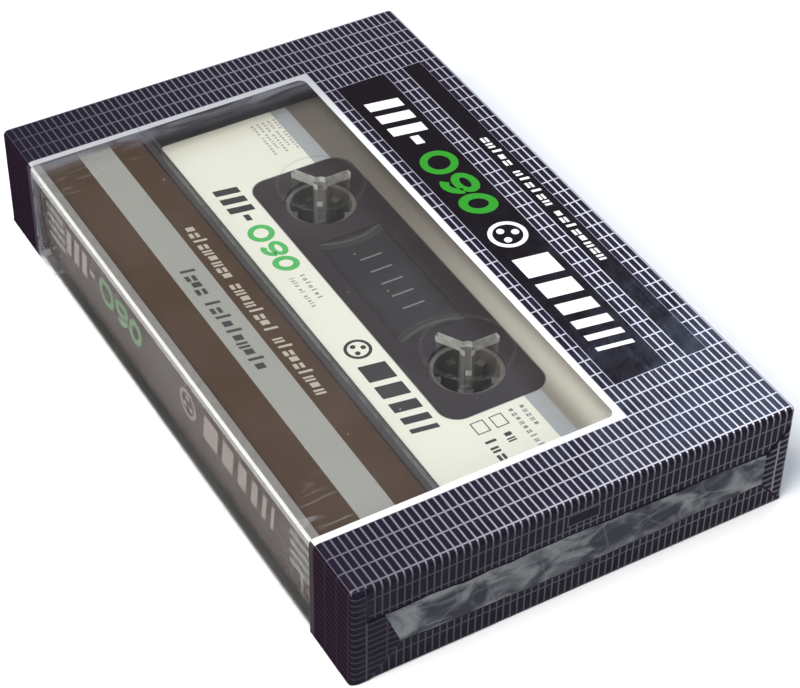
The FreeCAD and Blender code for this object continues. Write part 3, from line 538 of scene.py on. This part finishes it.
def tape_material():
    """Wound tape: fine rings on the faces, a gloss brown edge."""
    M = Mat("wound_tape")
    x, y = M.x, M.y
    dx = x.abs() - HUB_X
    dy = y - HUB_Y
    r = (dx * dx + dy * dy).sqrt()
    rings = (r * 42.0).sin() * 0.5 + 0.5
    broad = M.noise(0.5, 3.0, 0.6)
    wind = ((r * 1.7) + broad * 2.0).sin() * 0.5 + 0.5
    col = M.mixc(wind * 0.6 + rings * 0.2, (0.020, 0.010, 0.007), (0.048, 0.026, 0.017))
    nrm = M.bump(rings * 0.4 + wind * 0.6, 0.00004, 0.5)
    return M.done(M.principled(col, broad.ramp(0.3, 0.7, 0.22, 0.34), normal=nrm))


def slip_material():
    M = Mat("slip_sheet")
    n = M.noise(1.8, 4.0, 0.65, (1, 0.3, 1))
    fr = M.fresnel(1.4)
    smoke = M.mix(fr, M.transparent((0.62, 0.60, 0.60)), M.glossy(0.3, (1, 1, 1)))
    grey = M.principled(M.mixc(n, (0.05, 0.045, 0.05), (0.09, 0.08, 0.085)), 0.4)
    return M.done(M.mix(n.ramp(0.3, 0.7, 0.70, 0.85), smoke, grey))


def metal(name, a, b, rough, stretch=(0.1, 1, 1)):
    M = Mat(name)
    n = M.noise(6.0, 3.0, 0.6, stretch)
    col = M.mixc(n, a, b)
    nrm = M.bump(n, 0.00003, 0.5)
    return M.done(M.principled(col, n.ramp(0.3, 0.7, rough * 0.8, rough * 1.3), metallic=1.0, normal=nrm))


def felt_material():
    M = Mat("felt_pad")
    n = M.noise(7.0, 6.0, 0.75, (0.5, 1, 1), 1.0)
    v = M.voronoi(5.0, "F1")
    col = M.mixc(n, (0.30, 0.20, 0.11), (0.52, 0.38, 0.24))
    nrm = M.bump(n * 0.7 + v * 0.3, 0.0002, 0.9)
    return M.done(M.principled(col, 0.95, normal=nrm, sheen=0.4, spec=0.15))


def ink_material(name, a, b, rough=0.3, scale=1.5):
    M = Mat(name)
    n = M.noise(scale, 3.0, 0.6)
    col = M.mixc(n, a, b)
    nrm = M.bump(n, 0.00002, 0.4)
    return M.done(M.principled(col, rough, normal=nrm, coat=0.2, coat_rough=0.08))


FILM = film_material()
CASE = case_material()
MATS = {
    "case_holder": CASE, "case_cover": CASE, "insert_card": card_material(),
    "label_a": label_material(True), "label_b": label_material(False),
    "film_base_sheet": FILM,
}
SHELL = shell_material()
PANE = pane_material()
SLIP = slip_material()
TAPE = tape_material()
# painted shade: the hubs are white acetal, coloured dark grey-beige for the shade they sit in
HUB_IN_SHADE = simple_plastic("hub_acetal_in_shade", (0.12, 0.105, 0.095), (0.19, 0.17, 0.155), 0.9, 0.34)
CLAMP = simple_plastic("clamp_acetal", (0.20, 0.18, 0.16), (0.30, 0.27, 0.24), 1.2, 0.4)
ROLLER = simple_plastic("roller_acetal", (0.70, 0.69, 0.65), (0.84, 0.83, 0.79), 1.5, 0.3)
STEEL = metal("plated_screw", (0.42, 0.42, 0.43), (0.62, 0.62, 0.63), 0.28)
PIN = metal("polished_pin", (0.60, 0.60, 0.61), (0.74, 0.74, 0.75), 0.16, (1, 1, 0.1))
LEAF = metal("bronze_leaf", (0.62, 0.40, 0.18), (0.78, 0.54, 0.27), 0.26)
SHIELD = metal("nickel_shield", (0.42, 0.42, 0.42), (0.58, 0.58, 0.58), 0.36)
FELT = felt_material()
for n in ("shell_front", "shell_back"):
    MATS[n] = SHELL
for n in ("window_a", "window_b"):
    MATS[n] = PANE
for n in ("slip_sheet_a", "slip_sheet_b"):
    MATS[n] = SLIP
for n in ("tape_pack_supply", "tape_pack_takeup", "tape_run"):
    MATS[n] = TAPE
for n in ("hub_supply", "hub_takeup"):
    MATS[n] = HUB_IN_SHADE
for n in ("hub_clamp_supply", "hub_clamp_takeup"):
    MATS[n] = CLAMP
for n in ("guide_roller_left", "guide_roller_right"):
    MATS[n] = ROLLER
for n in ("roller_pin_left", "roller_pin_right"):
    MATS[n] = PIN
for n in nodes:
    if n.startswith("screw_"):
        MATS[n] = STEEL
MATS["pressure_pad"] = FELT
MATS["pad_spring"] = LEAF
MATS["shield_plate"] = SHIELD
for n, o in nodes.items():
    if n in MATS:
        if not o.data.materials:
            o.data.materials.append(MATS[n])
        for i in range(len(o.data.materials)):
            o.data.materials[i] = MATS[n]


# ================================================================ film meshes
class Skin:
    """Patches joined where their points coincide."""

    def __init__(self):
        self.key, self.pts, self.faces = {}, [], []

    def vert(self, p):
        k = (round(p[0], 4), round(p[1], 4), round(p[2], 4))
        if k not in self.key:
            self.key[k] = len(self.pts)
            self.pts.append(p)
        return self.key[k]

    def patch(self, us, vs, fn, flip=False, skip=None):
        ids = [[self.vert(fn(u, v)) for v in vs] for u in us]
        for i in range(len(us) - 1):
            for j in range(len(vs) - 1):
                if skip and skip((us[i] + us[i + 1]) / 2, (vs[j] + vs[j + 1]) / 2):
                    continue
                f = [ids[i][j], ids[i + 1][j], ids[i + 1][j + 1], ids[i][j + 1]]
                f = [a for k, a in enumerate(f) if a != f[k - 1]]
                if len(set(f)) < 3:
                    continue
                self.faces.append(f[::-1] if flip else f)

    def build(self, name, material, smooth=True):
        me = bpy.data.meshes.new(name)
        me.from_pydata([(p[0] * MM, p[1] * MM, p[2] * MM) for p in self.pts], [], self.faces)
        me.validate()
        me.materials.append(material)
        for poly in me.polygons:
            poly.use_smooth = smooth
        ob = bpy.data.objects.new(name, me)
        bpy.context.scene.collection.objects.link(ob)
        return ob


def spaced(a, b, step, dense_lo=0.0, dense_hi=0.0, fine=0.14, marks=()):
    """Grid lines from a to b, finer near an end that is to be rounded."""
    pts = {round(a, 5), round(b, 5)}
    lo, hi = a + dense_lo, b - dense_hi
    if dense_lo:
        k = int(math.ceil(dense_lo / fine))
        pts |= {round(a + dense_lo * i / k, 5) for i in range(k + 1)}
    if dense_hi:
        k = int(math.ceil(dense_hi / fine))
        pts |= {round(b - dense_hi * i / k, 5) for i in range(k + 1)}
    stops = sorted({round(lo, 5), round(hi, 5)} | {round(m, 5) for m in marks})
    for p, q in zip(stops, stops[1:]):
        k = max(1, int(math.ceil((q - p) / step)))
        pts |= {round(p + (q - p) * i / k, 5) for i in range(k + 1)}
    return sorted(pts)


def hashn(i, j, k=0):
    v = math.sin(i * 127.1 + j * 311.7 + k * 74.7) * 43758.5453
    return v - math.floor(v)


def vnoise(x, y, seed=0):
    """Smooth value noise from 0 to 1."""
    i, j = math.floor(x), math.floor(y)
    fx, fy = x - i, y - j
    fx, fy = fx * fx * (3 - 2 * fx), fy * fy * (3 - 2 * fy)
    a, b = hashn(i, j, seed), hashn(i + 1, j, seed)
    c, d = hashn(i, j + 1, seed), hashn(i + 1, j + 1, seed)
    return (a * (1 - fx) + b * fx) * (1 - fy) + (c * (1 - fx) + d * fx) * fy


def step(v, w):
    t = max(0.0, min(1.0, v / w + 0.5))
    return t * t * (3 - 2 * t)


def end_height(y, z):
    """How far a fold stands in from the outermost film on the end, in mm."""
    a, b = y + HY, HY - y
    wav = vnoise(y * 0.16 + 9, z * 0.1, 3) - 0.5
    top = min(z - (11.35 - a * 0.012 + wav * 0.5), a - 2.45, z - (14.7 - b))
    low = min((4.3 + abs(a - HY) * 0.022 + wav * 0.5) - z, (a - 2.8) * 1.07 - z, (b - 0.4) * 1.2 - z)
    crumple = (vnoise(y * 0.45, z * 0.5, 5) - 0.5) * 0.16 + (vnoise(y * 1.1, z * 0.9, 6) - 0.5) * 0.07
    h = -0.17 + crumple * 0.6
    h = h + (step(low, 0.35)) * (-0.07 - h) if low > -0.3 else h
    h = h + (step(top, 0.35)) * (-0.015 - h) if top > -0.3 else h
    return h


def round_film(p):
    """Move a point of the sharp box onto the film's rounded edges."""
    x, y, z = p
    qx = max(-HX + FILM_R, min(HX - FILM_R, x))
    qy = max(-HY + FILM_R, min(HY - FILM_R, y))
    qz = min(TOP - FILM_R, z)
    d = Vector((x - qx, y - qy, z - qz))
    n = (abs(d.x) > 1e-9) + (abs(d.y) > 1e-9) + (abs(d.z) > 1e-9)
    if n >= 2:
        d = d.normalized() * FILM_R
    out = Vector((qx, qy, qz)) + d
    # the folded ends stand in a little, and the flat faces sag between supports
    if abs(x) > HX - 1e-6:
        edge = min(1.0, max(0.0, (HY - abs(y)) / 1.2)) * min(1.0, max(0.0, (TOP - z) / 1.0))
        edge *= min(1.0, max(0.0, (z - 0.1) / 0.6)) if y > HINGE_Y + R_COVER else 1.0
        out.x += math.copysign(end_height(y, z) * edge, x)
    elif z > TOP - 1e-6:
        edge = min(1.0, (HX - abs(x)) / 2.5) * min(1.0, (HY - abs(y)) / 2.5)
        out.z -= (0.02 + 0.05 * vnoise(x * 0.12, y * 0.17, 1)) * max(0.0, edge)
    elif abs(y) > HY - 1e-6:
        edge = min(1.0, (HX - abs(x)) / 2.5) * min(1.0, (TOP - z) / 2.0) * min(1.0, max(0.0, z / 2.0))
        out.y -= math.copysign((0.01 + 0.05 * vnoise(x * 0.10, z * 0.25, 2)) * max(0.0, edge), y)
    return (out.x, out.y, out.z)


def part_y(z, r, low):
    """The parting line on the ends: an arc round the hinge, upright below it."""
    v = z - HINGE_Z
    return low if v <= 0 else HINGE_Y + math.sqrt(max(0.0, r * r - v * v))


XS = spaced(-HX, HX, 1.0, FILM_R, FILM_R, marks=(-53.3, -51.7, 51.7, 53.3))
ZS_TOP = spaced(0.13, TOP, 0.25, 0.0, FILM_R)
ZS_SPINE = spaced(0.10, TOP, 0.25, 0.0, FILM_R)
SLOT_Y = -33.2

# lug-side part, which lifts off the cover
top_cut = part_y(TOP - 0.0, R_COVER, 0)
span = HY - top_cut
VS = [(p - top_cut) / span for p in spaced(top_cut, HY, 0.3, 0.0, FILM_R)]
skin = Skin()
skin.patch(XS, VS, lambda x, v: round_film((x, top_cut + span * v, TOP)))
for sx in (-1, 1):
    skin.patch(VS, ZS_TOP,
               lambda v, z: round_film((sx * HX, (lambda c: c + (HY - c) * v)(
                   part_y(z, R_COVER, HINGE_Y + R_COVER)), z)), flip=sx < 0)
skin.patch(XS, ZS_TOP, lambda x, z: round_film((x, HY, z)), flip=True)
film_top = skin.build("film_top_skin", FILM)
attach(film_top, "film_top")
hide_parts("film_top_wrap")

# spine part, which slides off the pocket
cut_s = part_y(TOP, R_POCKET, 0)
span_s = cut_s + HY
VSS = [(p + HY) / span_s for p in spaced(-HY, cut_s, 0.3, FILM_R, 0.0, marks=(SLOT_Y,))]


def in_slot(x, v):
    return 51.7 < abs(x) < 53.3 and -HY + span_s * v > SLOT_Y


skin = Skin()
skin.patch(XS, VSS, lambda x, v: round_film((x, -HY + span_s * v, TOP)), skip=in_slot)
for sx in (-1, 1):
    skin.patch(VSS, ZS_SPINE,
               lambda v, z: round_film((sx * HX, -HY + (part_y(
                   z, R_POCKET, HINGE_Y + R_POCKET) + HY) * v, z)), flip=sx < 0)
skin.patch(XS, ZS_SPINE, lambda x, z: round_film((x, -HY, z)))
film_spine = skin.build("film_spine_skin", FILM)
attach(film_spine, "film_spine")
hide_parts("film_spine_wrap")

# a loose tongue of film over each arm slot
TONGUES = []
TONGUE_END = -17.08
for sx, side in ((-1, "left"), (1, "right")):
    tongue = Skin()
    tongue.patch(spaced(51.68, 53.32, 0.3), spaced(SLOT_Y - 0.05, TONGUE_END, 0.4),
                 lambda x, y: (sx * x, y, TOP - 0.035), flip=sx < 0)
    ob = tongue.build("film_slot_tongue_" + side, FILM)
    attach(ob, "film_spine")
    TONGUES.append(ob)
    tab = Skin()
    tab.patch(spaced(51.75, 53.25, 0.3), spaced(TONGUE_END + 0.02, top_cut, 0.3),
              lambda x, y: (sx * x, y, TOP - 0.035), flip=sx < 0)
    ob = tab.build("film_slot_tab_" + side, FILM)
    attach(ob, "film_top")


# ================================================================== printed marks
def prism(outlines, name, place, material, body, thick=0.012):
    """Thin inked shapes. outlines are lists of (u, v) in mm, placed on a surface."""
    bm = bmesh.new()
    for pts in outlines:
        base = [bm.verts.new(place(u, v, 0.0)) for u, v in pts]
        top = [bm.verts.new(place(u, v, thick)) for u, v in pts]
        n = len(pts)
        bm.faces.new(top)
        bm.faces.new(base[::-1])
        for i in range(n):
            j = (i + 1) % n
            bm.faces.new((base[i], base[j], top[j], top[i]))
    bmesh.ops.recalc_face_normals(bm, faces=bm.faces)
    me = bpy.data.meshes.new(name)
    bm.to_mesh(me)
    bm.free()
    me.materials.append(material)
    ob = bpy.data.objects.new(name, me)
    bpy.context.scene.collection.objects.link(ob)
    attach(ob, body)
    return ob


def on_top(z):
    return lambda u, v, t: (u * MM, v * MM, (z + t) * MM)


def on_spine(y):
    return lambda u, v, t: (u * MM, (y - t) * MM, v * MM)


def slab(u0, u1, v0, v1, lean=0.0):
    d = lean * (v1 - v0)
    return [(u0, v0), (u1, v0), (u1 + d, v1), (u0 + d, v1)]


def ring_band(cu, cv, r0, r1, n=36, squash=1.0, a0=0.0, a1=360.0):
    """A flat ring as short four-sided pieces."""
    out = []
    for i in range(n):
        t0 = math.radians(a0 + (a1 - a0) * i / n)
        t1 = math.radians(a0 + (a1 - a0) * (i + 1) / n)
        out.append([(cu + r0 * math.cos(t0) * squash, cv + r0 * math.sin(t0)),
                    (cu + r1 * math.cos(t0) * squash, cv + r1 * math.sin(t0)),
                    (cu + r1 * math.cos(t1) * squash, cv + r1 * math.sin(t1)),
                    (cu + r0 * math.cos(t1) * squash, cv + r0 * math.sin(t1))])
    return out


def disc(cu, cv, r, n=20):
    return [[(cu + r * math.cos(2 * math.pi * i / n), cv + r * math.sin(2 * math.pi * i / n))
             for i in range(n)]]


def reel_mark(cu, cv, r):
    """A plain tape-reel symbol: a ring with three spokes of dots."""
    out = ring_band(cu, cv, r * 0.76, r, 40)
    for k in range(3):
        t = math.radians(90 + 120 * k)
        out += disc(cu + r * 0.42 * math.cos(t), cv + r * 0.42 * math.sin(t), r * 0.2)
    return out


def word_bars(u0, u1, v0, v1, letters, lean=0.12, fill=0.62, seed=1):
    """Rows of small blocks that stand in for words of print."""
    rng = random.Random(seed)
    out = []
    total = sum(letters) + (len(letters) - 1) * 0.8
    w = (u1 - u0) / total
    h = v1 - v0
    u = u0
    last = -1
    for count in letters:
        for _ in range(count):
            k = rng.choice([c for c in (0, 1, 2, 3) if c != last])
            last = k
            f = fill * w
            if k == 0:
                out.append(slab(u + f * 0.2, u + f * 0.62, v0, v1, lean))
            elif k == 1:
                out.append(slab(u, u + f, v0, v0 + h * 0.30, lean))
                out.append(slab(u + lean * h * 0.5, u + f + lean * h * 0.5, v0 + h * 0.45, v0 + h * 0.72, lean))
            elif k == 2:
                out.append(slab(u, u + f * 0.36, v0, v0 + h * 0.74, lean))
                out.append(slab(u + f * 0.60, u + f * 0.96, v0, v0 + h * 0.74, lean))
            else:
                out.append(slab(u, u + f * 0.9, v0 + h * 0.12, v0 + h * 0.72, lean))
            u += w
        u += w * 0.8
    return out


def oval_band(cu, cv, ru, rv, wide, n=40, a0=0.0, a1=360.0):
    """Part of an oval ring as short four-sided pieces."""
    out = []
    for i in range(n):
        t0 = math.radians(a0 + (a1 - a0) * i / n)
        t1 = math.radians(a0 + (a1 - a0) * (i + 1) / n)
        out.append([(cu + (ru - wide) * math.cos(t0), cv + (rv - wide) * math.sin(t0)),
                    (cu + ru * math.cos(t0), cv + rv * math.sin(t0)),
                    (cu + ru * math.cos(t1), cv + rv * math.sin(t1)),
                    (cu + (ru - wide) * math.cos(t1), cv + (rv - wide) * math.sin(t1))])
    return out


def ninety(u0, u1, v0, v1, lean=0.16):
    """The number of minutes, drawn as slanted rings and a curved tail."""
    w, h = (u1 - u0) * 0.485, v1 - v0
    wide = h * 0.235
    cv = (v0 + v1) / 2
    c9, c0 = u0 + w / 2, u1 - w / 2
    rv9 = h * 0.335
    out = oval_band(c9, v1 - rv9, w / 2, rv9, wide * 0.92)
    out += oval_band(c9, cv, w / 2, h / 2, wide, 24, -8.0, -128.0)
    out += oval_band(c0, cv, w / 2, h / 2, wide)
    return [[(u + lean * (v - cv), v) for u, v in f] for f in out]


INK_WHITE = ink_material("ink_white", (0.82, 0.82, 0.80), (0.90, 0.90, 0.88), 0.22)
INK_GREEN = ink_material("ink_green", (0.020, 0.27, 0.012), (0.030, 0.31, 0.018), 0.22)
INK_LGREEN = ink_material("ink_leaf_green", (0.085, 0.50, 0.12), (0.11, 0.56, 0.15), 0.35)
INK_DARK = ink_material("ink_dark", (0.035, 0.03, 0.033), (0.05, 0.045, 0.05), 0.4)
INK_PALE = ink_material("ink_pale", (0.40, 0.35, 0.28), (0.50, 0.45, 0.37), 0.45)
# painted shade: the spine's pale and green inks are darkened for the shade on the spine
INK_SPINE_IN_SHADE = ink_material("ink_spine_in_shade", (0.14, 0.105, 0.092), (0.20, 0.155, 0.14), 0.45)
INK_SPINE_GREEN_IN_SHADE = ink_material("ink_spine_green_in_shade", (0.030, 0.12, 0.028), (0.04, 0.15, 0.035), 0.45)
INK_GREY = ink_material("ink_grey", (0.22, 0.22, 0.22), (0.30, 0.30, 0.30), 0.45)

# lug-side band: stripes, ring, number, reel symbol, blocks
F = on_top(TOP - 0.004)
w = []
for k, u in enumerate((-33.2, -29.6, -26.0)):
    w.append(slab(u, u + 2.2, 17.2, 22.8, 0.16))
w.append(slab(-22.6, -20.4, 19.3, 20.7, 0.16))
w += reel_mark(4.7, 19.9, 3.0)
for u, wd in ((10.0, 4.6), (16.2, 3.4), (21.2, 2.5), (25.3, 1.8), (28.7, 1.2), (31.5, 0.8)):
    w.append(slab(u, u + wd, 17.2, 22.8, 0.16))
prism(w, "band_white_marks", F, INK_WHITE, "film_top")
prism(ring_band(-14.9, 19.95, 1.75, 2.95, 44), "band_green_ring", F, INK_GREEN, "film_top")
prism(ninety(-11.5, -1.0, 17.1, 22.8), "band_number", F, INK_GREEN, "film_top")
prism(word_bars(-17.0, 16.6, 28.4, 29.9, (5, 6, 8), 0.14, 0.78, seed=4), "band_small_marks", F, INK_WHITE,
      "film_top")

# label, side A
L = on_top(12.03)
d = []
for u in (-31.3, -28.9, -26.5):
    d.append(slab(u, u + 1.45, -10.4, -6.5, 0.16))
d.append(slab(-24.0, -22.5, -8.9, -8.0, 0.16))
d += reel_mark(10.6, -8.5, 2.05)
for u, wd in ((13.9, 3.6), (18.6, 2.7), (22.5, 2.0), (25.7, 1.4), (28.2, 0.9)):
    d.append(slab(u, u + wd, -10.5, -6.4, 0.16))
for (x0, y0, x1, y1) in ((31.3, -2.75, 33.75, -0.7), (31.4, 0.2, 33.8, 2.2)):
    t = 0.16
    d += [slab(x0, x1, y0, y0 + t), slab(x0, x1, y1 - t, y1), slab(x0, x0 + t, y0 + t, y1 - t),
          slab(x1 - t, x1, y0 + t, y1 - t)]
d += word_bars(35.1, 37.3, 0.15, 1.9, (2,), 0.0, 0.7, seed=9)
d += word_bars(35.1, 39.9, -2.8, -1.1, (3,), 0.0, 0.7, seed=10)
prism(d, "label_dark_marks", L, INK_DARK, "case")
g = word_bars(31.5, 36.2, 5.0, 6.0, (5,), 0.0, 0.6, seed=11)
g += word_bars(31.4, 40.0, 3.3, 4.3, (9,), 0.0, 0.6, seed=12)
for k in range(5):
    g += word_bars(-43.2, -34.5 - 1.3 * (k % 2), 2.4 + k * 0.95, 2.9 + k * 0.95, (4, 7), 0.0, 0.6, seed=20 + k)
g += word_bars(-7.6, -1.2, -8.1, -7.3, (7,), 0.0, 0.6, seed=31)
g += word_bars(-7.6, -0.2, -9.8, -9.0, (4, 2, 5), 0.0, 0.6, seed=32)
prism(g, "label_small_marks", L, INK_GREY, "case")
prism(ring_band(-18.9, -8.45, 1.15, 2.05, 40), "label_green_ring", L, INK_LGREEN, "case")
prism(ninety(-16.5, -9.2, -10.4, -6.5), "label_number", L, INK_LGREEN, "case")


# label, side B: the same print, turned over
def LB(u, v, t):
    return (-u * MM, v * MM, (3.37 - t) * MM)


prism(d, "label_b_dark_marks", LB, INK_DARK, "case")
prism(g, "label_b_small_marks", LB, INK_GREY, "case")
prism(ring_band(-18.9, -8.45, 1.15, 2.05, 40), "label_b_green_ring", LB, INK_LGREEN, "case")
prism(ninety(-16.5, -9.2, -10.4, -6.5), "label_b_number", LB, INK_LGREEN, "case")

# card flap and spine
C = on_top(15.99)
prism(word_bars(-21.0, 20.2, -20.1, -18.1, (9, 8, 9), 0.16, 0.74, seed=41), "card_pale_marks", C,
      INK_PALE, "case")
prism(word_bars(-12.8, 11.8, -24.9, -22.7, (4, 10), 0.16, 0.80, seed=42), "card_dark_marks", C,
      INK_DARK, "case")
P = on_spine(-33.04)
s = []
for u in (-35.4, -32.6, -29.8):
    s.append(slab(u, u + 1.7, 6.6, 11.4, 0.16))
s.append(slab(-26.8, -25.1, 8.5, 9.6, 0.16))
s += reel_mark(6.0, 9.0, 2.5)
for u, wd in ((10.6, 4.2), (16.2, 3.2), (20.9, 2.4), (24.8, 1.7), (27.9, 1.1), (30.4, 0.8)):
    s.append(slab(u, u + wd, 6.6, 11.4, 0.16))
prism(s, "spine_pale_marks", P, INK_SPINE_IN_SHADE, "case")
prism(ring_band(-20.8, 9.0, 1.5, 2.5, 40), "spine_green_ring", P, INK_SPINE_GREEN_IN_SHADE, "case")
prism(ninety(-17.8, -8.8, 6.6, 11.4), "spine_number", P, INK_SPINE_GREEN_IN_SHADE, "case")

for ob in TONGUES:
    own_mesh(ob)

# ===================================================================== stage
me = bpy.data.meshes.new("floor")
me.from_pydata([(-3, -3, 0), (3, -3, 0), (3, 3, 0), (-3, 3, 0)], [], [(0, 1, 2, 3)])
fm = Mat("studio_floor")
fn = fm.noise(0.004, 2.0)
me.materials.append(fm.done(fm.principled(fm.mixc(fn, (0.90, 0.90, 0.90), (0.93, 0.93, 0.93)), 0.8, spec=0.1)))
floor = bpy.data.objects.new("floor", me)
bpy.context.scene.collection.objects.link(floor)
floor.location.z = -0.0001

world = bpy.data.worlds.new("studio")
bpy.context.scene.world = world
world.use_nodes = True
wn = world.node_tree
bg = wn.nodes["Background"]
bg.inputs[0].default_value = (0.95, 0.97, 1.0, 1.0)
bg.inputs[1].default_value = 0.22


def lamp(name, loc, target, size, power, color=(1, 1, 1), size_y=None):
    l = bpy.data.lights.new(name, "AREA")
    l.shape = "RECTANGLE" if size_y else "SQUARE"
    l.size = size
    if size_y:
        l.size_y = size_y
    l.energy = power
    l.color = color
    o = bpy.data.objects.new(name, l)
    o.location = loc
    o.rotation_euler = (Vector(target) - Vector(loc)).to_track_quat("-Z", "Y").to_euler()
    bpy.context.scene.collection.objects.link(o)
    return o


lamp("overhead", (0.12, -0.52, 0.77), (0, 0, 0), 0.6, 12.0)
lamp("sheen", (-0.26, 0.44, 0.48), (0.05, 0.03, 0.0), 0.26, 1.15, (0.52, 0.70, 1.0))
lamp("end_fill", (0.7, 0.15, 0.35), (0, 0, 0), 0.5, 2.0)
lamp("spine_fill", (0.1, -0.8, 0.3), (0, 0, 0), 0.5, 0.4)

# ===================================================================== camera
AZ, EL, ROLL = math.radians(59.06), math.radians(42.03), math.radians(1.127)
DIST = 0.329902
target = Vector((0.009382, -0.000864, 0.0087))
back = Vector((math.sin(AZ) * math.cos(EL), -math.cos(AZ) * math.cos(EL), math.sin(EL)))
right = Vector((math.cos(AZ), math.sin(AZ), 0.0))
up = back.cross(right)
r2 = math.cos(ROLL) * right + math.sin(ROLL) * up
u2 = -math.sin(ROLL) * right + math.cos(ROLL) * up
cam = bpy.data.cameras.new("camera")
cam.sensor_fit = "HORIZONTAL"
cam.sensor_width = 36.0
cam.lens = 2297.73 / 800.0 * 36.0
cam.clip_start = 0.01
cam.dof.use_dof = False
co = bpy.data.objects.new("camera", cam)
m = Matrix((r2, u2, back)).transposed().to_4x4()
m.translation = target + back * DIST
co.matrix_world = m
bpy.context.scene.collection.objects.link(co)
bpy.context.scene.camera = co
bpy.context.scene.view_settings.view_transform = "Standard"
